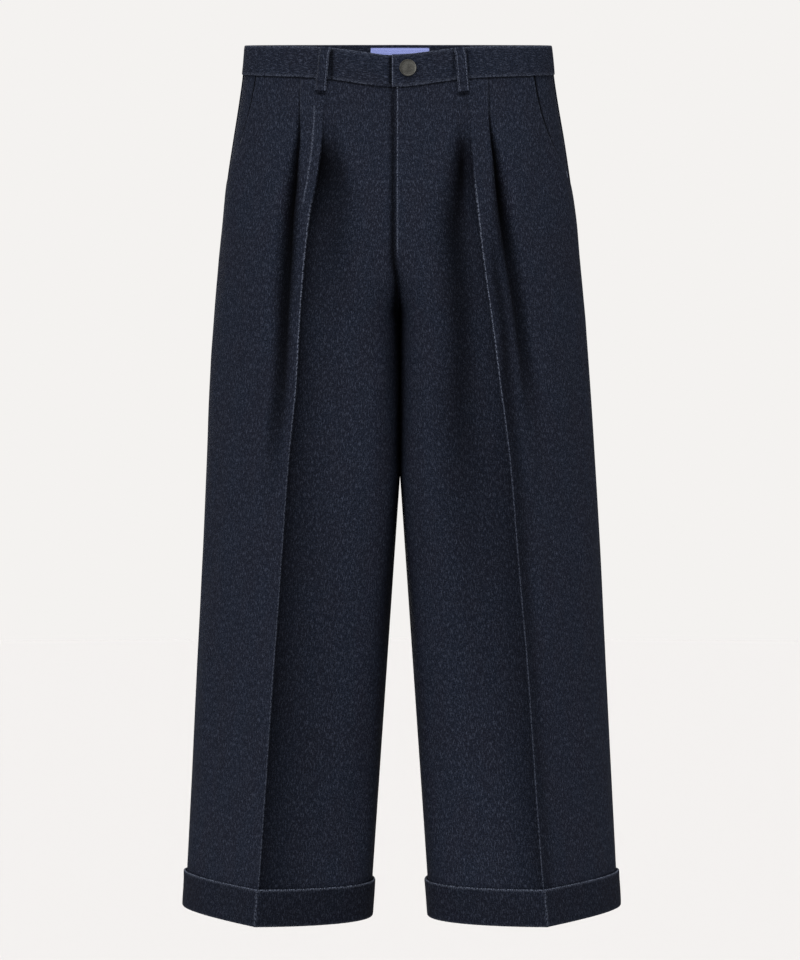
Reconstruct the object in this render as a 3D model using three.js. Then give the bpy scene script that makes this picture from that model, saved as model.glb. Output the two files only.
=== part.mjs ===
// Dark denim wide-leg jeans with a pleated front, pressed creases and turn-up cuffs, filled out as if worn.
// Millimetres, +Z up, the wearer faces -Y and the wearer's left is +X. The origin is the middle of the waist.
import * as THREE from "three";
import { mergeVertices } from "three/addons/utils/BufferGeometryUtils.js";

const RIGHT = -1;
const LEFT = 1;

// Cloth thicknesses and the gap left between sewn pieces.
const CLOTH = 1.6;
const BAND_CLOTH = 2.4;
const LOOP_CLOTH = 1.6;
const FACING_CLOTH = 1.4;
const LABEL_CLOTH = 1.0;
const GAP = 0.3;

// Named levels down the garment.
const SEAM_LEVEL = -20;
const TILT_END = -260;
const FORK_START = -245;
const REAR_FORK_START = -195;
const CROTCH_LEVEL = -311;
const HEM_LEVEL = -1032;
const FORK_Y = 5;

// Turn-up cuff: its height, how far it stands clear of the leg, its thickness and its turned-in lip.
const CUFF_HEIGHT = 44;
const CUFF_CLEAR = 1.1;
const CUFF_CLOTH = 2.6;
const CUFF_LIP = 2.2;
const CUFF_EDGE = 0.8;
const CUFF_STATIONS = 9;

// Levels of the panel rows: close at the pleats and round the crotch, wide down the leg.
const PLEAT_LEVELS = [-20, -40, -60, -80, -100, -120, -140, -156, -172, -195, -220, -245];
const FORK_STEPS = 6;
const LEG_LEVELS = [-325, -350, -390, -435, -500, -580, -670, -760, -860, -950, -1010];
const LEG_END = HEM_LEVEL + BAND_CLOTH + GAP;
const BACK_COLUMNS = 13;

// Steps along the cloth, in laps, and down it, in millimetres, over which its direction is measured.
const NORMAL_STEP = 0.02;
const BAND_NORMAL_STEP = 0.04;
const NORMAL_DROP = 3;

// How much of the way to a crease the cloth lies flat across the centre seams, above the crotch.
const CENTRE_FLAT = 0.4;

// Level sections of the two legs. The crease is the pressed front edge and the outer point is the side seam.
// turn is the angle in degrees by which the cloth falls back from the crease on its outer side, reach is
// how far the side keeps straight, as a share of the chord. lean and rearLean are the slopes of the cloth
// on the inner side of the front and rear creases, and full is how square the front stays towards the middle.
const SECTIONS = [
  { level: 16, outerRight: 188.5, outerLeft: 184, creaseRight: 89, creaseLeft: 80.5, creaseY: -74, lean: -0.2, full: 0.45, turn: 10, reach: 0.4, outerY: 2, rearX: 83, rearY: 71, rearLean: 0.2 },
  { level: -20, outerRight: 191.5, outerLeft: 187.5, creaseRight: 90, creaseLeft: 81.5, creaseY: -78, lean: -0.2, full: 0.45, turn: 10, reach: 0.4, outerY: 2, rearX: 85, rearY: 76, rearLean: 0.2 },
  { level: -60, outerRight: 197, outerLeft: 193.5, creaseRight: 90.5, creaseLeft: 82.5, creaseY: -89, lean: -0.12, full: 0.45, turn: 12, reach: 0.4, outerY: 2, rearX: 88, rearY: 93, rearLean: 0.14 },
  { level: -100, outerRight: 203.5, outerLeft: 200.5, creaseRight: 92.5, creaseLeft: 84, creaseY: -99, lean: -0.04, full: 0.45, turn: 14, reach: 0.4, outerY: 3, rearX: 90, rearY: 107, rearLean: 0.08 },
  { level: -150, outerRight: 211, outerLeft: 208, creaseRight: 98, creaseLeft: 87.5, creaseY: -109, lean: 0.02, full: 0.45, turn: 17, reach: 0.4, outerY: 3, rearX: 93, rearY: 121, rearLean: 0.03 },
  { level: -200, outerRight: 216, outerLeft: 215, creaseRight: 106, creaseLeft: 92, creaseY: -116, lean: 0.03, full: 0.45, turn: 20, reach: 0.39, outerY: 4, rearX: 95, rearY: 129, rearLean: 0 },
  { level: -245, outerRight: 220.5, outerLeft: 219, creaseRight: 110.5, creaseLeft: 96.5, creaseY: -120, lean: 0.03, full: 0.5, turn: 23, reach: 0.38, outerY: 5, rearX: 98, rearY: 129, rearLean: 0 },
  { level: -311, outerRight: 226.5, outerLeft: 225.5, creaseRight: 116, creaseLeft: 105.5, creaseY: -122, lean: 0.03, full: 0.62, turn: 26, reach: 0.36, outerY: 10, rearX: 104, rearY: 120, rearLean: 0 },
  { level: -400, outerRight: 232.5, outerLeft: 232.5, creaseRight: 121, creaseLeft: 117, creaseY: -121, lean: 0.03, full: 0.6, turn: 30, reach: 0.33, outerY: 13, rearX: 109, rearY: 108, rearLean: 0 },
  { level: -480, outerRight: 236, outerLeft: 238, creaseRight: 129, creaseLeft: 127, creaseY: -119, lean: 0.03, full: 0.58, turn: 33, reach: 0.31, outerY: 17, rearX: 114, rearY: 102, rearLean: 0 },
  { level: -600, outerRight: 241.5, outerLeft: 245.5, creaseRight: 138, creaseLeft: 137.5, creaseY: -116, lean: 0.03, full: 0.55, turn: 37, reach: 0.29, outerY: 22, rearX: 121, rearY: 96, rearLean: 0 },
  { level: -740, outerRight: 249, outerLeft: 252.5, creaseRight: 148, creaseLeft: 149.5, creaseY: -112, lean: 0.03, full: 0.5, turn: 40, reach: 0.26, outerY: 26, rearX: 127, rearY: 90, rearLean: 0 },
  { level: -880, outerRight: 256, outerLeft: 260, creaseRight: 158, creaseLeft: 159, creaseY: -108, lean: 0.03, full: 0.47, turn: 43, reach: 0.24, outerY: 30, rearX: 131, rearY: 85, rearLean: 0 },
  { level: -1032, outerRight: 264, outerLeft: 268, creaseRight: 168.5, creaseLeft: 171, creaseY: -105, lean: 0.03, full: 0.45, turn: 45, reach: 0.22, outerY: 33, rearX: 134, rearY: 80, rearLean: 0 },
];

// Depth of the centre front and centre back seams above the crotch curve.
const CENTRE_SEAMS = [
  { level: 16, frontY: -84, backY: 80 },
  { level: -20, frontY: -87, backY: 84 },
  { level: -60, frontY: -93, backY: 94 },
  { level: -100, frontY: -99, backY: 105 },
  { level: -150, frontY: -105, backY: 117 },
  { level: -200, frontY: -109, backY: 125 },
  { level: -245, frontY: -109, backY: 124 },
];

// Below the crotch the inner side of each leg: its depth, and how far it keeps straight to the front and back.
const INNER_LEG = [
  { level: -311, y: 5, front: 116, back: 108 },
  { level: -400, y: -2, front: 106, back: 96 },
  { level: -480, y: -10, front: 97, back: 88 },
  { level: -600, y: -20, front: 84, back: 76 },
  { level: -740, y: -26, front: 70, back: 62 },
  { level: -1032, y: -32, front: 53, back: 45 },
];

// The gap between the legs opens below this level, by this much for each millimetre.
const LEGS_PART_LEVEL = -505;
const LEGS_PART_SLOPE = 0.0685;
const LEGS_TOUCH = 0.6;

// Outer pleat: a valley that starts closed at the waist seam. offset is from the crease, in the cloth.
// Its wall is steep on the crease's side and soft on the other, as shares of half.
const STEEP_WALL = 0.55;
const SOFT_WALL = 1.1;
const OUTER_PLEAT = [
  { level: -20, offsetRight: 30, offsetLeft: 24, half: 2, depth: 0.6 },
  { level: -60, offsetRight: 28.5, offsetLeft: 24, half: 2.5, depth: 2 },
  { level: -92, offsetRight: 27, offsetLeft: 26, half: 4, depth: 6 },
  { level: -123, offsetRight: 27, offsetLeft: 28, half: 6, depth: 11 },
  { level: -160, offsetRight: 25, offsetLeft: 30, half: 8, depth: 14 },
  { level: -200, offsetRight: 22, offsetLeft: 32, half: 10, depth: 13 },
  { level: -245, offsetRight: 21, offsetLeft: 34, half: 12, depth: 10 },
  { level: -311, offsetRight: 21, offsetLeft: 35, half: 14, depth: 7 },
  { level: -390, offsetRight: 22, offsetLeft: 36, half: 16, depth: 3.5 },
  { level: -480, offsetRight: 23, offsetLeft: 36, half: 18, depth: 0 },
  { level: -1032, offsetRight: 23, offsetLeft: 36, half: 18, depth: 0 },
];

// Inner pleat: the crease stands over a recess on its inner side, which runs on as the crease's own flank.
const INNER_PLEAT = [
  { level: -20, width: 4, depthRight: 0, depthLeft: 0, crisp: 0.6 },
  { level: -60, width: 5, depthRight: 1.5, depthLeft: 1.5, crisp: 0.6 },
  { level: -95, width: 6, depthRight: 5, depthLeft: 4, crisp: 0.6 },
  { level: -125, width: 8, depthRight: 10, depthLeft: 9, crisp: 0.6 },
  { level: -165, width: 11, depthRight: 13, depthLeft: 12, crisp: 0.65 },
  { level: -210, width: 15, depthRight: 11, depthLeft: 10, crisp: 0.75 },
  { level: -260, width: 17, depthRight: 9, depthLeft: 7.5, crisp: 0.85 },
  { level: -330, width: 19, depthRight: 7, depthLeft: 5, crisp: 1 },
  { level: -420, width: 20, depthRight: 5.5, depthLeft: 3.5, crisp: 1 },
  { level: -700, width: 20, depthRight: 4, depthLeft: 2.5, crisp: 1 },
  { level: -1032, width: 18, depthRight: 3, depthLeft: 2, crisp: 1 },
];

// Slant pocket: how far its mouth lies from the side seam, in the cloth.
const POCKET_MOUTH = [
  { level: -20, right: 46, left: 58 },
  { level: -60, right: 46, left: 54 },
  { level: -100, right: 40, left: 44 },
  { level: -125, right: 28, left: 31 },
  { level: -145, right: 12, left: 13 },
  { level: -156, right: 0, left: 0 },
];
const MOUTH_END = -156;
const FACING_END = -172;
const FACING_COLUMNS = 3;
const FACING_STEPS = 4;
const FACING_CLEAR = 0.2;

// Waist line: the seam and the top edge dip at the front and rise to the back.
const WAIST_SIDE_Z = 18;
const WAIST_SLOPE = 0.205;
const DIP_DEPTH = 9.5;
const DIP_WIDTH = 60;
const DIP_X = -7;
const BAND_HEIGHT = 35.5;
const BAND_FRONT_EXTRA = 3;
const BAND_FRONT_WIDTH = 110;
const BAND_PROUD = 0.8;
const BAND_CLEAR = 0.5;

// Fly: the wearer's left lies on top, with its edge a little past the middle.
const FLY_EDGE_X = -4;
const FLY_END = -243;
const BAND_END_X = -9.4;
const BAND_UNDER_X = 32;
const SHIELD_LEFT_X = 34;
const SHIELD_RIGHT_X = -12;
const SHIELD_CLEAR = 0.5;

// Belt loops: centre at the top and the bottom edge, measured along X.
const LOOP_WIDTH = 13;
const LOOP_STAND = 3.4;
const LOOP_BELOW_SEAM = 15;
const LOOPS = [
  { name: "belt_loop_front_right", side: RIGHT, front: true, topX: 88.5, bottomX: 93.5 },
  { name: "belt_loop_front_left", side: LEFT, front: true, topX: 70, bottomX: 75 },
  { name: "belt_loop_back_right", side: RIGHT, front: false, topX: 108, bottomX: 108 },
  { name: "belt_loop_back_left", side: LEFT, front: false, topX: 108, bottomX: 108 },
  { name: "belt_loop_back_centre", side: LEFT, front: false, topX: 0, bottomX: 0 },
];

// Shank button on the waistband, and the bare label inside its back.
const BUTTON_RADIUS = 10;
const BUTTON_X = 9.3;
const BUTTON_RISE = 0.54;
const SHANK_RADIUS = 4;
const LABEL_HALF_WIDTH = 37.5;
const LABEL_TOP_DROP = 4;
const LABEL_HEIGHT = 27;
const LABEL_CLEAR = 0.3;

const DENIM = { color: 0x1d212b, roughness: 0.95, metalness: 0 };
const DENIM_BAND = { color: 0x20242e, roughness: 0.95, metalness: 0 };
const GUNMETAL = { color: 0x4b4b48, roughness: 0.35, metalness: 0.9 };
const LILAC = { color: 0x7e88d2, roughness: 0.8, metalness: 0 };

const lerp = THREE.MathUtils.lerp;
const clamp = THREE.MathUtils.clamp;

// Reads one column of a table at a level, by a smooth curve through its rows.
function read(table, column, level) {
  const last = table.length - 1;
  if (level >= table[0].level) return table[0][column];
  if (level <= table[last].level) return table[last][column];
  let row = 0;
  while (table[row + 1].level > level) row += 1;
  const slope = (a, b) => (table[b][column] - table[a][column]) / (table[b].level - table[a].level);
  const here = slope(row, row + 1);
  const soften = (other) => (other * here <= 0 ? 0 : (2 * other * here) / (other + here));
  const start = row > 0 ? soften(slope(row - 1, row)) : here;
  const end = row + 1 < last ? soften(slope(row + 1, row + 2)) : here;
  const span = table[row + 1].level - table[row].level;
  const t = (level - table[row].level) / span;
  const t2 = t * t;
  const t3 = t2 * t;
  const fromStart = table[row][column] * (2 * t3 - 3 * t2 + 1) + start * span * (t3 - 2 * t2 + t);
  return fromStart + table[row + 1][column] * (3 * t2 - 2 * t3) + end * span * (t3 - t2);
}

// Reads the column of one side, such as outerRight or outerLeft.
function readSide(table, stem, side, level) {
  return read(table, stem + (side === RIGHT ? "Right" : "Left"), level);
}

// Angle along the crotch curve, from 0 where it leaves the centre seams to 90 degrees at the crotch.
function forkAngle(level, start = FORK_START) {
  return Math.asin(clamp((start - level) / (start - CROTCH_LEVEL), 0, 1));
}

// Half the distance between the two legs at a level.
function legGap(level) {
  const parted = Math.max(0, LEGS_PART_LEVEL - level) * LEGS_PART_SLOPE;
  const joined = lerp(GAP / 2, LEGS_TOUCH, Math.sin(forkAngle(level)) ** 4);
  return joined + parted;
}

// X of the centre front edge: the fly's edge above, the middle below.
function frontEdgeX(side, level) {
  const t = THREE.MathUtils.smoothstep(-level, -FLY_END, -FLY_END + 35);
  return FLY_EDGE_X * (1 - t) + side * legGap(level);
}

// The four curves of one side's level section, from the centre front round to the centre back.
const sectionCache = new Map();
function section(side, level) {
  const key = `${side}:${level}`;
  if (sectionCache.has(key)) return sectionCache.get(key);
  const fork = forkAngle(level);
  const rearFork = forkAngle(level, REAR_FORK_START);
  const below = level < CROTCH_LEVEL;
  const crease = new THREE.Vector2(
    side * readSide(SECTIONS, "crease", side, level),
    read(SECTIONS, "creaseY", level),
  );
  const outer = new THREE.Vector2(
    side * readSide(SECTIONS, "outer", side, level),
    read(SECTIONS, "outerY", level),
  );
  const rear = new THREE.Vector2(side * read(SECTIONS, "rearX", level), read(SECTIONS, "rearY", level));
  const innerY = read(INNER_LEG, "y", level);
  const flatFront = read(CENTRE_SEAMS, "frontY", level);
  const flatBack = read(CENTRE_SEAMS, "backY", level);
  const frontY = below ? innerY : FORK_Y + (flatFront - FORK_Y) * Math.cos(fork);
  const backY = below ? innerY : FORK_Y + (flatBack - FORK_Y) * Math.cos(rearFork);
  const front = new THREE.Vector2(frontEdgeX(side, level), frontY - GAP / 2);
  const back = new THREE.Vector2(side * legGap(level), backY + GAP / 2);
  const frontTurn = THREE.MathUtils.smoothstep(Math.sin(fork), 0, 1);
  const backTurn = THREE.MathUtils.smoothstep(Math.sin(rearFork), 0, 1);
  const frontGuide = new THREE.Vector2(
    front.x + side * (below ? 0 : CENTRE_FLAT * Math.abs(crease.x) * (1 - frontTurn)),
    innerY - read(INNER_LEG, "front", level),
  );
  const backGuide = new THREE.Vector2(
    back.x + side * (below ? 0 : CENTRE_FLAT * Math.abs(rear.x) * (1 - backTurn)),
    innerY + read(INNER_LEG, "back", level),
  );
  if (!below) {
    frontGuide.y = lerp(flatFront, frontGuide.y, frontTurn);
    backGuide.y = lerp(flatBack, backGuide.y, backTurn);
  }
  const turn = THREE.MathUtils.degToRad(read(SECTIONS, "turn", level));
  const reach = read(SECTIONS, "reach", level);
  const pressed = THREE.MathUtils.smoothstep(-level, 300, 620);
  const frontChord = crease.distanceTo(outer);
  const rearChord = rear.distanceTo(outer);
  const creaseReach = read(SECTIONS, "full", level) * Math.abs(crease.x - front.x);
  const rearLean = read(SECTIONS, "rearLean", level);
  const curves = [
    new THREE.CubicBezierCurve(
      front,
      frontGuide,
      new THREE.Vector2(crease.x - side * creaseReach, crease.y + read(SECTIONS, "lean", level) * creaseReach),
      crease,
    ),
    new THREE.CubicBezierCurve(
      crease,
      new THREE.Vector2(
        crease.x + side * 0.36 * frontChord * Math.cos(turn),
        crease.y + 0.36 * frontChord * Math.sin(turn),
      ),
      new THREE.Vector2(outer.x, outer.y - reach * frontChord),
      outer,
    ),
    new THREE.CubicBezierCurve(
      outer,
      new THREE.Vector2(outer.x, outer.y + lerp(0.4, 0.2, pressed) * rearChord),
      new THREE.Vector2(
        rear.x + side * 0.38 * rearChord,
        rear.y - (rearLean * 0.38 + lerp(0, 0.08, pressed)) * rearChord,
      ),
      rear,
    ),
    new THREE.CubicBezierCurve(
      rear,
      new THREE.Vector2(
        rear.x - side * 0.42 * Math.abs(rear.x - back.x),
        rear.y + (rearLean * 0.42 - lerp(0, 0.12, pressed)) * Math.abs(rear.x),
      ),
      backGuide,
      back,
    ),
  ];
  const lengths = curves.map((curve) => curve.getLength());
  const result = { curves, lengths };
  sectionCache.set(key, result);
  return result;
}

// Height of the waist seam over a point of the waist: lower at the front, higher at the back.
function seamZ(x, y) {
  const front = THREE.MathUtils.smoothstep(-y, 0, 60);
  const dip = DIP_DEPTH * Math.exp(-(((x - DIP_X) / DIP_WIDTH) ** 2)) * front;
  return WAIST_SIDE_Z + WAIST_SLOPE * y - dip - bandHeight(x, y);
}

// Height of the waistband over a point of the waist.
function bandHeight(x, y) {
  const front = THREE.MathUtils.smoothstep(-y, 0, 60);
  return BAND_HEIGHT + BAND_FRONT_EXTRA * Math.exp(-((x / BAND_FRONT_WIDTH) ** 2)) * front;
}

// Lifts a point of a level section to its height, because the sections near the waist are tilted.
function lift(point, level) {
  const t = clamp((level - TILT_END) / (SEAM_LEVEL - TILT_END), 0, 1);
  const tilted = t * t * (3 - 2 * t);
  const tilt = (seamZ(point.x, point.y) - SEAM_LEVEL) * tilted;
  return new THREE.Vector3(point.x, point.y, level + tilt);
}

// A point of the smooth body of the garment. lap runs 0 centre front, 1 crease, 2 side seam, 3 rear crease,
// 4 centre back, and each whole lap is measured along the cloth.
function skin(side, level, lap) {
  const { curves } = section(side, level);
  const index = clamp(Math.floor(lap), 0, 3);
  return lift(curves[index].getPointAt(clamp(lap - index, 0, 1)), level);
}

// The outward direction of the smooth body at a point.
function skinNormal(side, level, lap) {
  const from = clamp(lap - NORMAL_STEP, 0, 4);
  const to = clamp(lap + NORMAL_STEP, 0, 4);
  const along = skin(side, level, to).sub(skin(side, level, from));
  const down = skin(side, level - NORMAL_DROP, lap).sub(skin(side, level + NORMAL_DROP, lap));
  return along.cross(down).multiplyScalar(-side).normalize();
}

// Depth of the two pleats and of the crease's flank at a distance from the crease, outwards positive.
function pleatDepth(side, level, distance) {
  const offset = readSide(OUTER_PLEAT, "offset", side, level);
  const half = read(OUTER_PLEAT, "half", level);
  const across = (distance - offset) / half;
  const wall = across < 0 ? STEEP_WALL : SOFT_WALL;
  const outer = read(OUTER_PLEAT, "depth", level) * Math.exp(-((across / wall) ** 2));
  const inward = Math.max(0, -distance) / read(INNER_PLEAT, "width", level);
  const bowl = (inward * Math.exp(1 - inward)) ** read(INNER_PLEAT, "crisp", level);
  const tail = 1 - THREE.MathUtils.smoothstep(inward, 2.5, 5);
  return outer + readSide(INNER_PLEAT, "depth", side, level) * bowl * tail;
}

// A point of a front panel at a distance from the crease, with its pleats pressed in.
function frontPoint(side, level, distance) {
  const { lengths } = section(side, level);
  const lap = distance < 0 ? 1 + distance / lengths[0] : 1 + distance / lengths[1];
  const normal = skinNormal(side, level, clamp(lap, 0.04, 1.96));
  return skin(side, level, lap).addScaledVector(normal, -pleatDepth(side, level, distance));
}

// Closes a sheet of outer points, held as rows of equal length, into a wall of the given thickness.
// The rows run down and their points run clockwise seen from above, or the other way round with flip.
// edges gives the outward directions of the first and last point of each row, where a neighbour meets it.
function wallGeometry(rows, thickness, flip, edges) {
  const rowCount = rows.length;
  const width = rows[0].length;
  const at = (r, c) => rows[clamp(r, 0, rowCount - 1)][clamp(c, 0, width - 1)];
  const positions = [];
  const inner = [];
  for (let r = 0; r < rowCount; r += 1) {
    for (let c = 0; c < width; c += 1) {
      const across = at(r, c + 1).clone().sub(at(r, c)).normalize();
      across.add(at(r, c).clone().sub(at(r, c - 1)).normalize());
      const down = at(r + 1, c).clone().sub(at(r - 1, c));
      let normal = across.cross(down).normalize().multiplyScalar(flip ? -1 : 1);
      if (edges && c === 0) normal = edges[r][0];
      if (edges && c === width - 1) normal = edges[r][1];
      positions.push(...at(r, c).toArray());
      inner.push(...at(r, c).clone().addScaledVector(normal, -thickness).toArray());
    }
  }
  const offset = rowCount * width;
  positions.push(...inner);
  const index = [];
  const quad = (a, b, c, d) => index.push(a, b, c, a, c, d);
  for (let r = 0; r < rowCount - 1; r += 1) {
    for (let c = 0; c < width - 1; c += 1) {
      const a = r * width + c;
      quad(a, a + width, a + width + 1, a + 1);
      quad(offset + a, offset + a + 1, offset + a + width + 1, offset + a + width);
    }
  }
  for (let r = 0; r < rowCount - 1; r += 1) {
    const a = r * width;
    const b = a + width - 1;
    quad(a, offset + a, offset + a + width, a + width);
    quad(b, b + width, offset + b + width, offset + b);
  }
  for (let c = 0; c < width - 1; c += 1) {
    const a = c;
    const b = (rowCount - 1) * width + c;
    quad(a, a + 1, offset + a + 1, offset + a);
    quad(b, offset + b, offset + b + 1, b + 1);
  }
  return outward(positions, index);
}

// Closes a strip whose cross-section is a closed profile at each station, with flat ends or as a ring.
function stripGeometry(stations, ring) {
  const count = stations.length;
  const sides = stations[0].length;
  const positions = stations.flatMap((profile) => profile.flatMap((point) => point.toArray()));
  const index = [];
  for (let s = 0; s < (ring ? count : count - 1); s += 1) {
    const next = (s + 1) % count;
    for (let p = 0; p < sides; p += 1) {
      const q = (p + 1) % sides;
      const a = s * sides + p;
      const b = s * sides + q;
      const c = next * sides + q;
      const d = next * sides + p;
      index.push(a, b, c, a, c, d);
    }
  }
  if (!ring) {
    for (let p = 1; p < sides - 1; p += 1) {
      const last = (count - 1) * sides;
      index.push(0, p + 1, p, last, last + p, last + p + 1);
    }
  }
  return outward(positions, index);
}

// Builds the geometry and turns its faces outwards if they came out inside.
function outward(positions, index) {
  let volume = 0;
  const corner = (i) => new THREE.Vector3().fromArray(positions, index[i] * 3);
  for (let i = 0; i < index.length; i += 3) {
    volume += corner(i).dot(corner(i + 1).cross(corner(i + 2)));
  }
  if (volume < 0) index.reverse();
  const geometry = new THREE.BufferGeometry();
  geometry.setAttribute("position", new THREE.Float32BufferAttribute(positions, 3));
  geometry.setIndex(index);
  geometry.computeVertexNormals();
  return geometry;
}

const group = new THREE.Group();

// Adds one named piece to the garment.
function add(name, geometry, look) {
  const mesh = new THREE.Mesh(geometry, new THREE.MeshStandardMaterial(look));
  mesh.name = name;
  group.add(mesh);
}

// Levels of the panel rows, from the waist seam down to the leg's end inside the cuff.
function panelLevels() {
  const fork = [];
  for (let step = 1; step <= FORK_STEPS; step += 1) {
    const angle = (step / FORK_STEPS) * (Math.PI / 2);
    fork.push(FORK_START - (FORK_START - CROTCH_LEVEL) * Math.sin(angle));
  }
  return [...PLEAT_LEVELS, ...fork, ...LEG_LEVELS, LEG_END];
}

// Distance of the pocket mouth from the side seam, 0 below its end.
function mouthInset(side, level) {
  return level <= MOUTH_END ? 0 : read(POCKET_MOUTH, side === RIGHT ? "right" : "left", level);
}

// Distances from the crease of a front panel's columns, from the centre front to its outer edge.
function frontStations(side, level) {
  const { lengths } = section(side, level);
  const innerEnd = -lengths[0];
  const outerEnd = lengths[1] - GAP / 2 - mouthInset(side, level);
  const recess = read(INNER_PLEAT, "width", level);
  const offset = readSide(OUTER_PLEAT, "offset", side, level);
  const half = read(OUTER_PLEAT, "half", level);
  const list = [];
  const innerFlat = -3.4 * recess;
  for (let i = 0; i < 4; i += 1) list.push(lerp(innerEnd, innerFlat, i / 4));
  for (const share of [3.4, 2.1, 1.2, 0.6, 0.16, 0]) list.push(-share * recess);
  list.push(0.5 * (offset - half));
  for (const share of [-1, -0.4, 0, 0.7, 1.5, 2.4]) list.push(offset + share * half);
  const outerFlat = offset + 2.4 * half;
  for (let i = 1; i <= 5; i += 1) list.push(lerp(outerFlat, outerEnd, i / 5));
  return list;
}

// Front panel, from the centre front to the side seam or the pocket mouth.
function frontPanel(side) {
  const levels = panelLevels();
  const rows = levels.map((level) =>
    frontStations(side, level).map((distance) => frontPoint(side, level, distance)),
  );
  const edges = levels.map((level) => {
    const edgeLap = 2 - mouthInset(side, level) / section(side, level).lengths[1];
    return [skinNormal(side, level, 0), skinNormal(side, level, edgeLap)];
  });
  return wallGeometry(rows, CLOTH, side === LEFT, edges);
}

// Back panel, from the side seam to the centre back.
function backPanel(side) {
  const levels = panelLevels();
  const rows = levels.map((level) => {
    const { lengths } = section(side, level);
    const row = [];
    for (let i = 0; i <= BACK_COLUMNS; i += 1) {
      const lap = lerp(2 + GAP / 2 / lengths[2], 4, i / BACK_COLUMNS);
      row.push(skin(side, level, lap));
    }
    return row;
  });
  const edges = levels.map((level) => [skinNormal(side, level, 2), skinNormal(side, level, 4)]);
  return wallGeometry(rows, CLOTH, side === LEFT, edges);
}

// The share of a lap at which the body reaches a distance from the middle, on its front or its back.
function lapAtX(side, level, absoluteX, front) {
  let low = front ? 0 : 4;
  let high = 2;
  for (let i = 0; i < 24; i += 1) {
    const middle = (low + high) / 2;
    if (side * skin(side, level, middle).x < absoluteX) low = middle;
    else high = middle;
  }
  return (low + high) / 2;
}

// Facing of a slant pocket: it lies under the front panel's last columns and reaches the side seam.
function pocketFacing(side) {
  const levels = panelLevels().filter((level) => level >= FACING_END);
  const rows = levels.map((level) => {
    const { lengths } = section(side, level);
    const covered = frontStations(side, level).slice(-FACING_COLUMNS);
    const mouth = covered[covered.length - 1];
    const seam = lengths[1] - GAP / 2;
    const row = [...covered];
    for (let i = 1; i <= FACING_STEPS; i += 1) row.push(lerp(mouth, seam, i / FACING_STEPS));
    // Below the mouth its columns would lie on one line, so they are set a gap apart there.
    const closed = mouth > lengths[1] - GAP;
    return row.map((distance, i) => {
      const spread = closed ? distance - (row.length - i) * GAP : distance;
      const lap = 1 + spread / lengths[1];
      const depth = CLOTH + GAP + FACING_CLEAR;
      return frontPoint(side, level, spread).addScaledVector(skinNormal(side, level, lap), -depth);
    });
  });
  return wallGeometry(rows, FACING_CLOTH, side === LEFT);
}

// Fly shield: it lies behind both fronts, from under the right one to behind the left one's fly.
function flyShield() {
  const levels = [SEAM_LEVEL, -60, -100, -140, -180, -215, FLY_END + 4];
  const across = [SHIELD_LEFT_X, 22, 10, FLY_EDGE_X + 1, SHIELD_RIGHT_X];
  const rows = levels.map((level) =>
    across.map((x) => {
      const side = x < FLY_EDGE_X ? RIGHT : LEFT;
      const { lengths } = section(side, level);
      const lap = Math.abs(x - FLY_EDGE_X) / lengths[0];
      const point = frontPoint(side, level, (lap - 1) * lengths[0]);
      return point.addScaledVector(skinNormal(side, level, lap), -CLOTH - GAP - SHIELD_CLEAR);
    }),
  );
  return wallGeometry(rows, FACING_CLOTH, false);
}

// A point of the waistband's middle surface. rise runs from 0 at the seam to 1 at the top edge.
function bandPoint(side, rise, lap) {
  const level = lerp(SEAM_LEVEL, SECTIONS[0].level, rise);
  const point = skin(side, level, lap);
  point.z = seamZ(point.x, point.y) + BAND_CLEAR + rise * bandHeight(point.x, point.y);
  return point;
}

// The outward direction of the waistband at a point.
function bandNormal(side, lap) {
  const after = bandPoint(side, 0.5, clamp(lap + BAND_NORMAL_STEP, 0, 4));
  const before = bandPoint(side, 0.5, clamp(lap - BAND_NORMAL_STEP, 0, 4));
  const along = after.sub(before);
  const down = bandPoint(side, 0, lap).sub(bandPoint(side, 1, lap));
  return along.cross(down).multiplyScalar(-side).normalize();
}

// Waistband: one strip from the left end, on top at the front, round the back to the end beneath it.
function waistband() {
  const { lengths } = section(LEFT, SEAM_LEVEL);
  const frontLaps = [0, 0.12, 0.35, 0.6, 0.8, 1, 1.15, 1.3, 1.45, 1.6, 1.75, 1.88];
  const backLaps = [2, 2.12, 2.3, 2.5, 2.7, 2.85, 3, 3.25, 3.5, 3.75];
  const endLap = Math.abs(BAND_END_X - FLY_EDGE_X) / section(RIGHT, SEAM_LEVEL).lengths[0];
  const sunk = BAND_PROUD - BAND_CLOTH - GAP;
  const path = [{ side: RIGHT, lap: endLap, face: BAND_PROUD }];
  for (const lap of [...frontLaps, ...backLaps, 4]) path.push({ side: LEFT, lap, face: BAND_PROUD });
  for (const lap of [...backLaps].reverse()) path.push({ side: RIGHT, lap, face: BAND_PROUD });
  for (const lap of [...frontLaps].reverse().slice(0, -3)) path.push({ side: RIGHT, lap, face: BAND_PROUD });
  path.push({ side: RIGHT, lap: 0.42, face: BAND_PROUD });
  path.push({ side: RIGHT, lap: 0.28, face: lerp(BAND_PROUD, sunk, 0.5) });
  path.push({ side: RIGHT, lap: 0.14, face: sunk });
  for (const x of [FLY_EDGE_X, 10, BAND_UNDER_X]) {
    path.push({ side: LEFT, lap: (x - FLY_EDGE_X) / lengths[0], face: sunk });
  }
  const rises = [0, 0.5, 0.97, 1, 0.97, 0.5, 0];
  const depths = [0, 0, 0, BAND_CLOTH / 2, BAND_CLOTH, BAND_CLOTH, BAND_CLOTH];
  const stations = path.map(({ side, lap, face }) => {
    const normal = bandNormal(side, lap);
    return rises.map((rise, i) => bandPoint(side, rise, lap).addScaledVector(normal, face - depths[i]));
  });
  return stripGeometry(stations, false);
}

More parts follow.
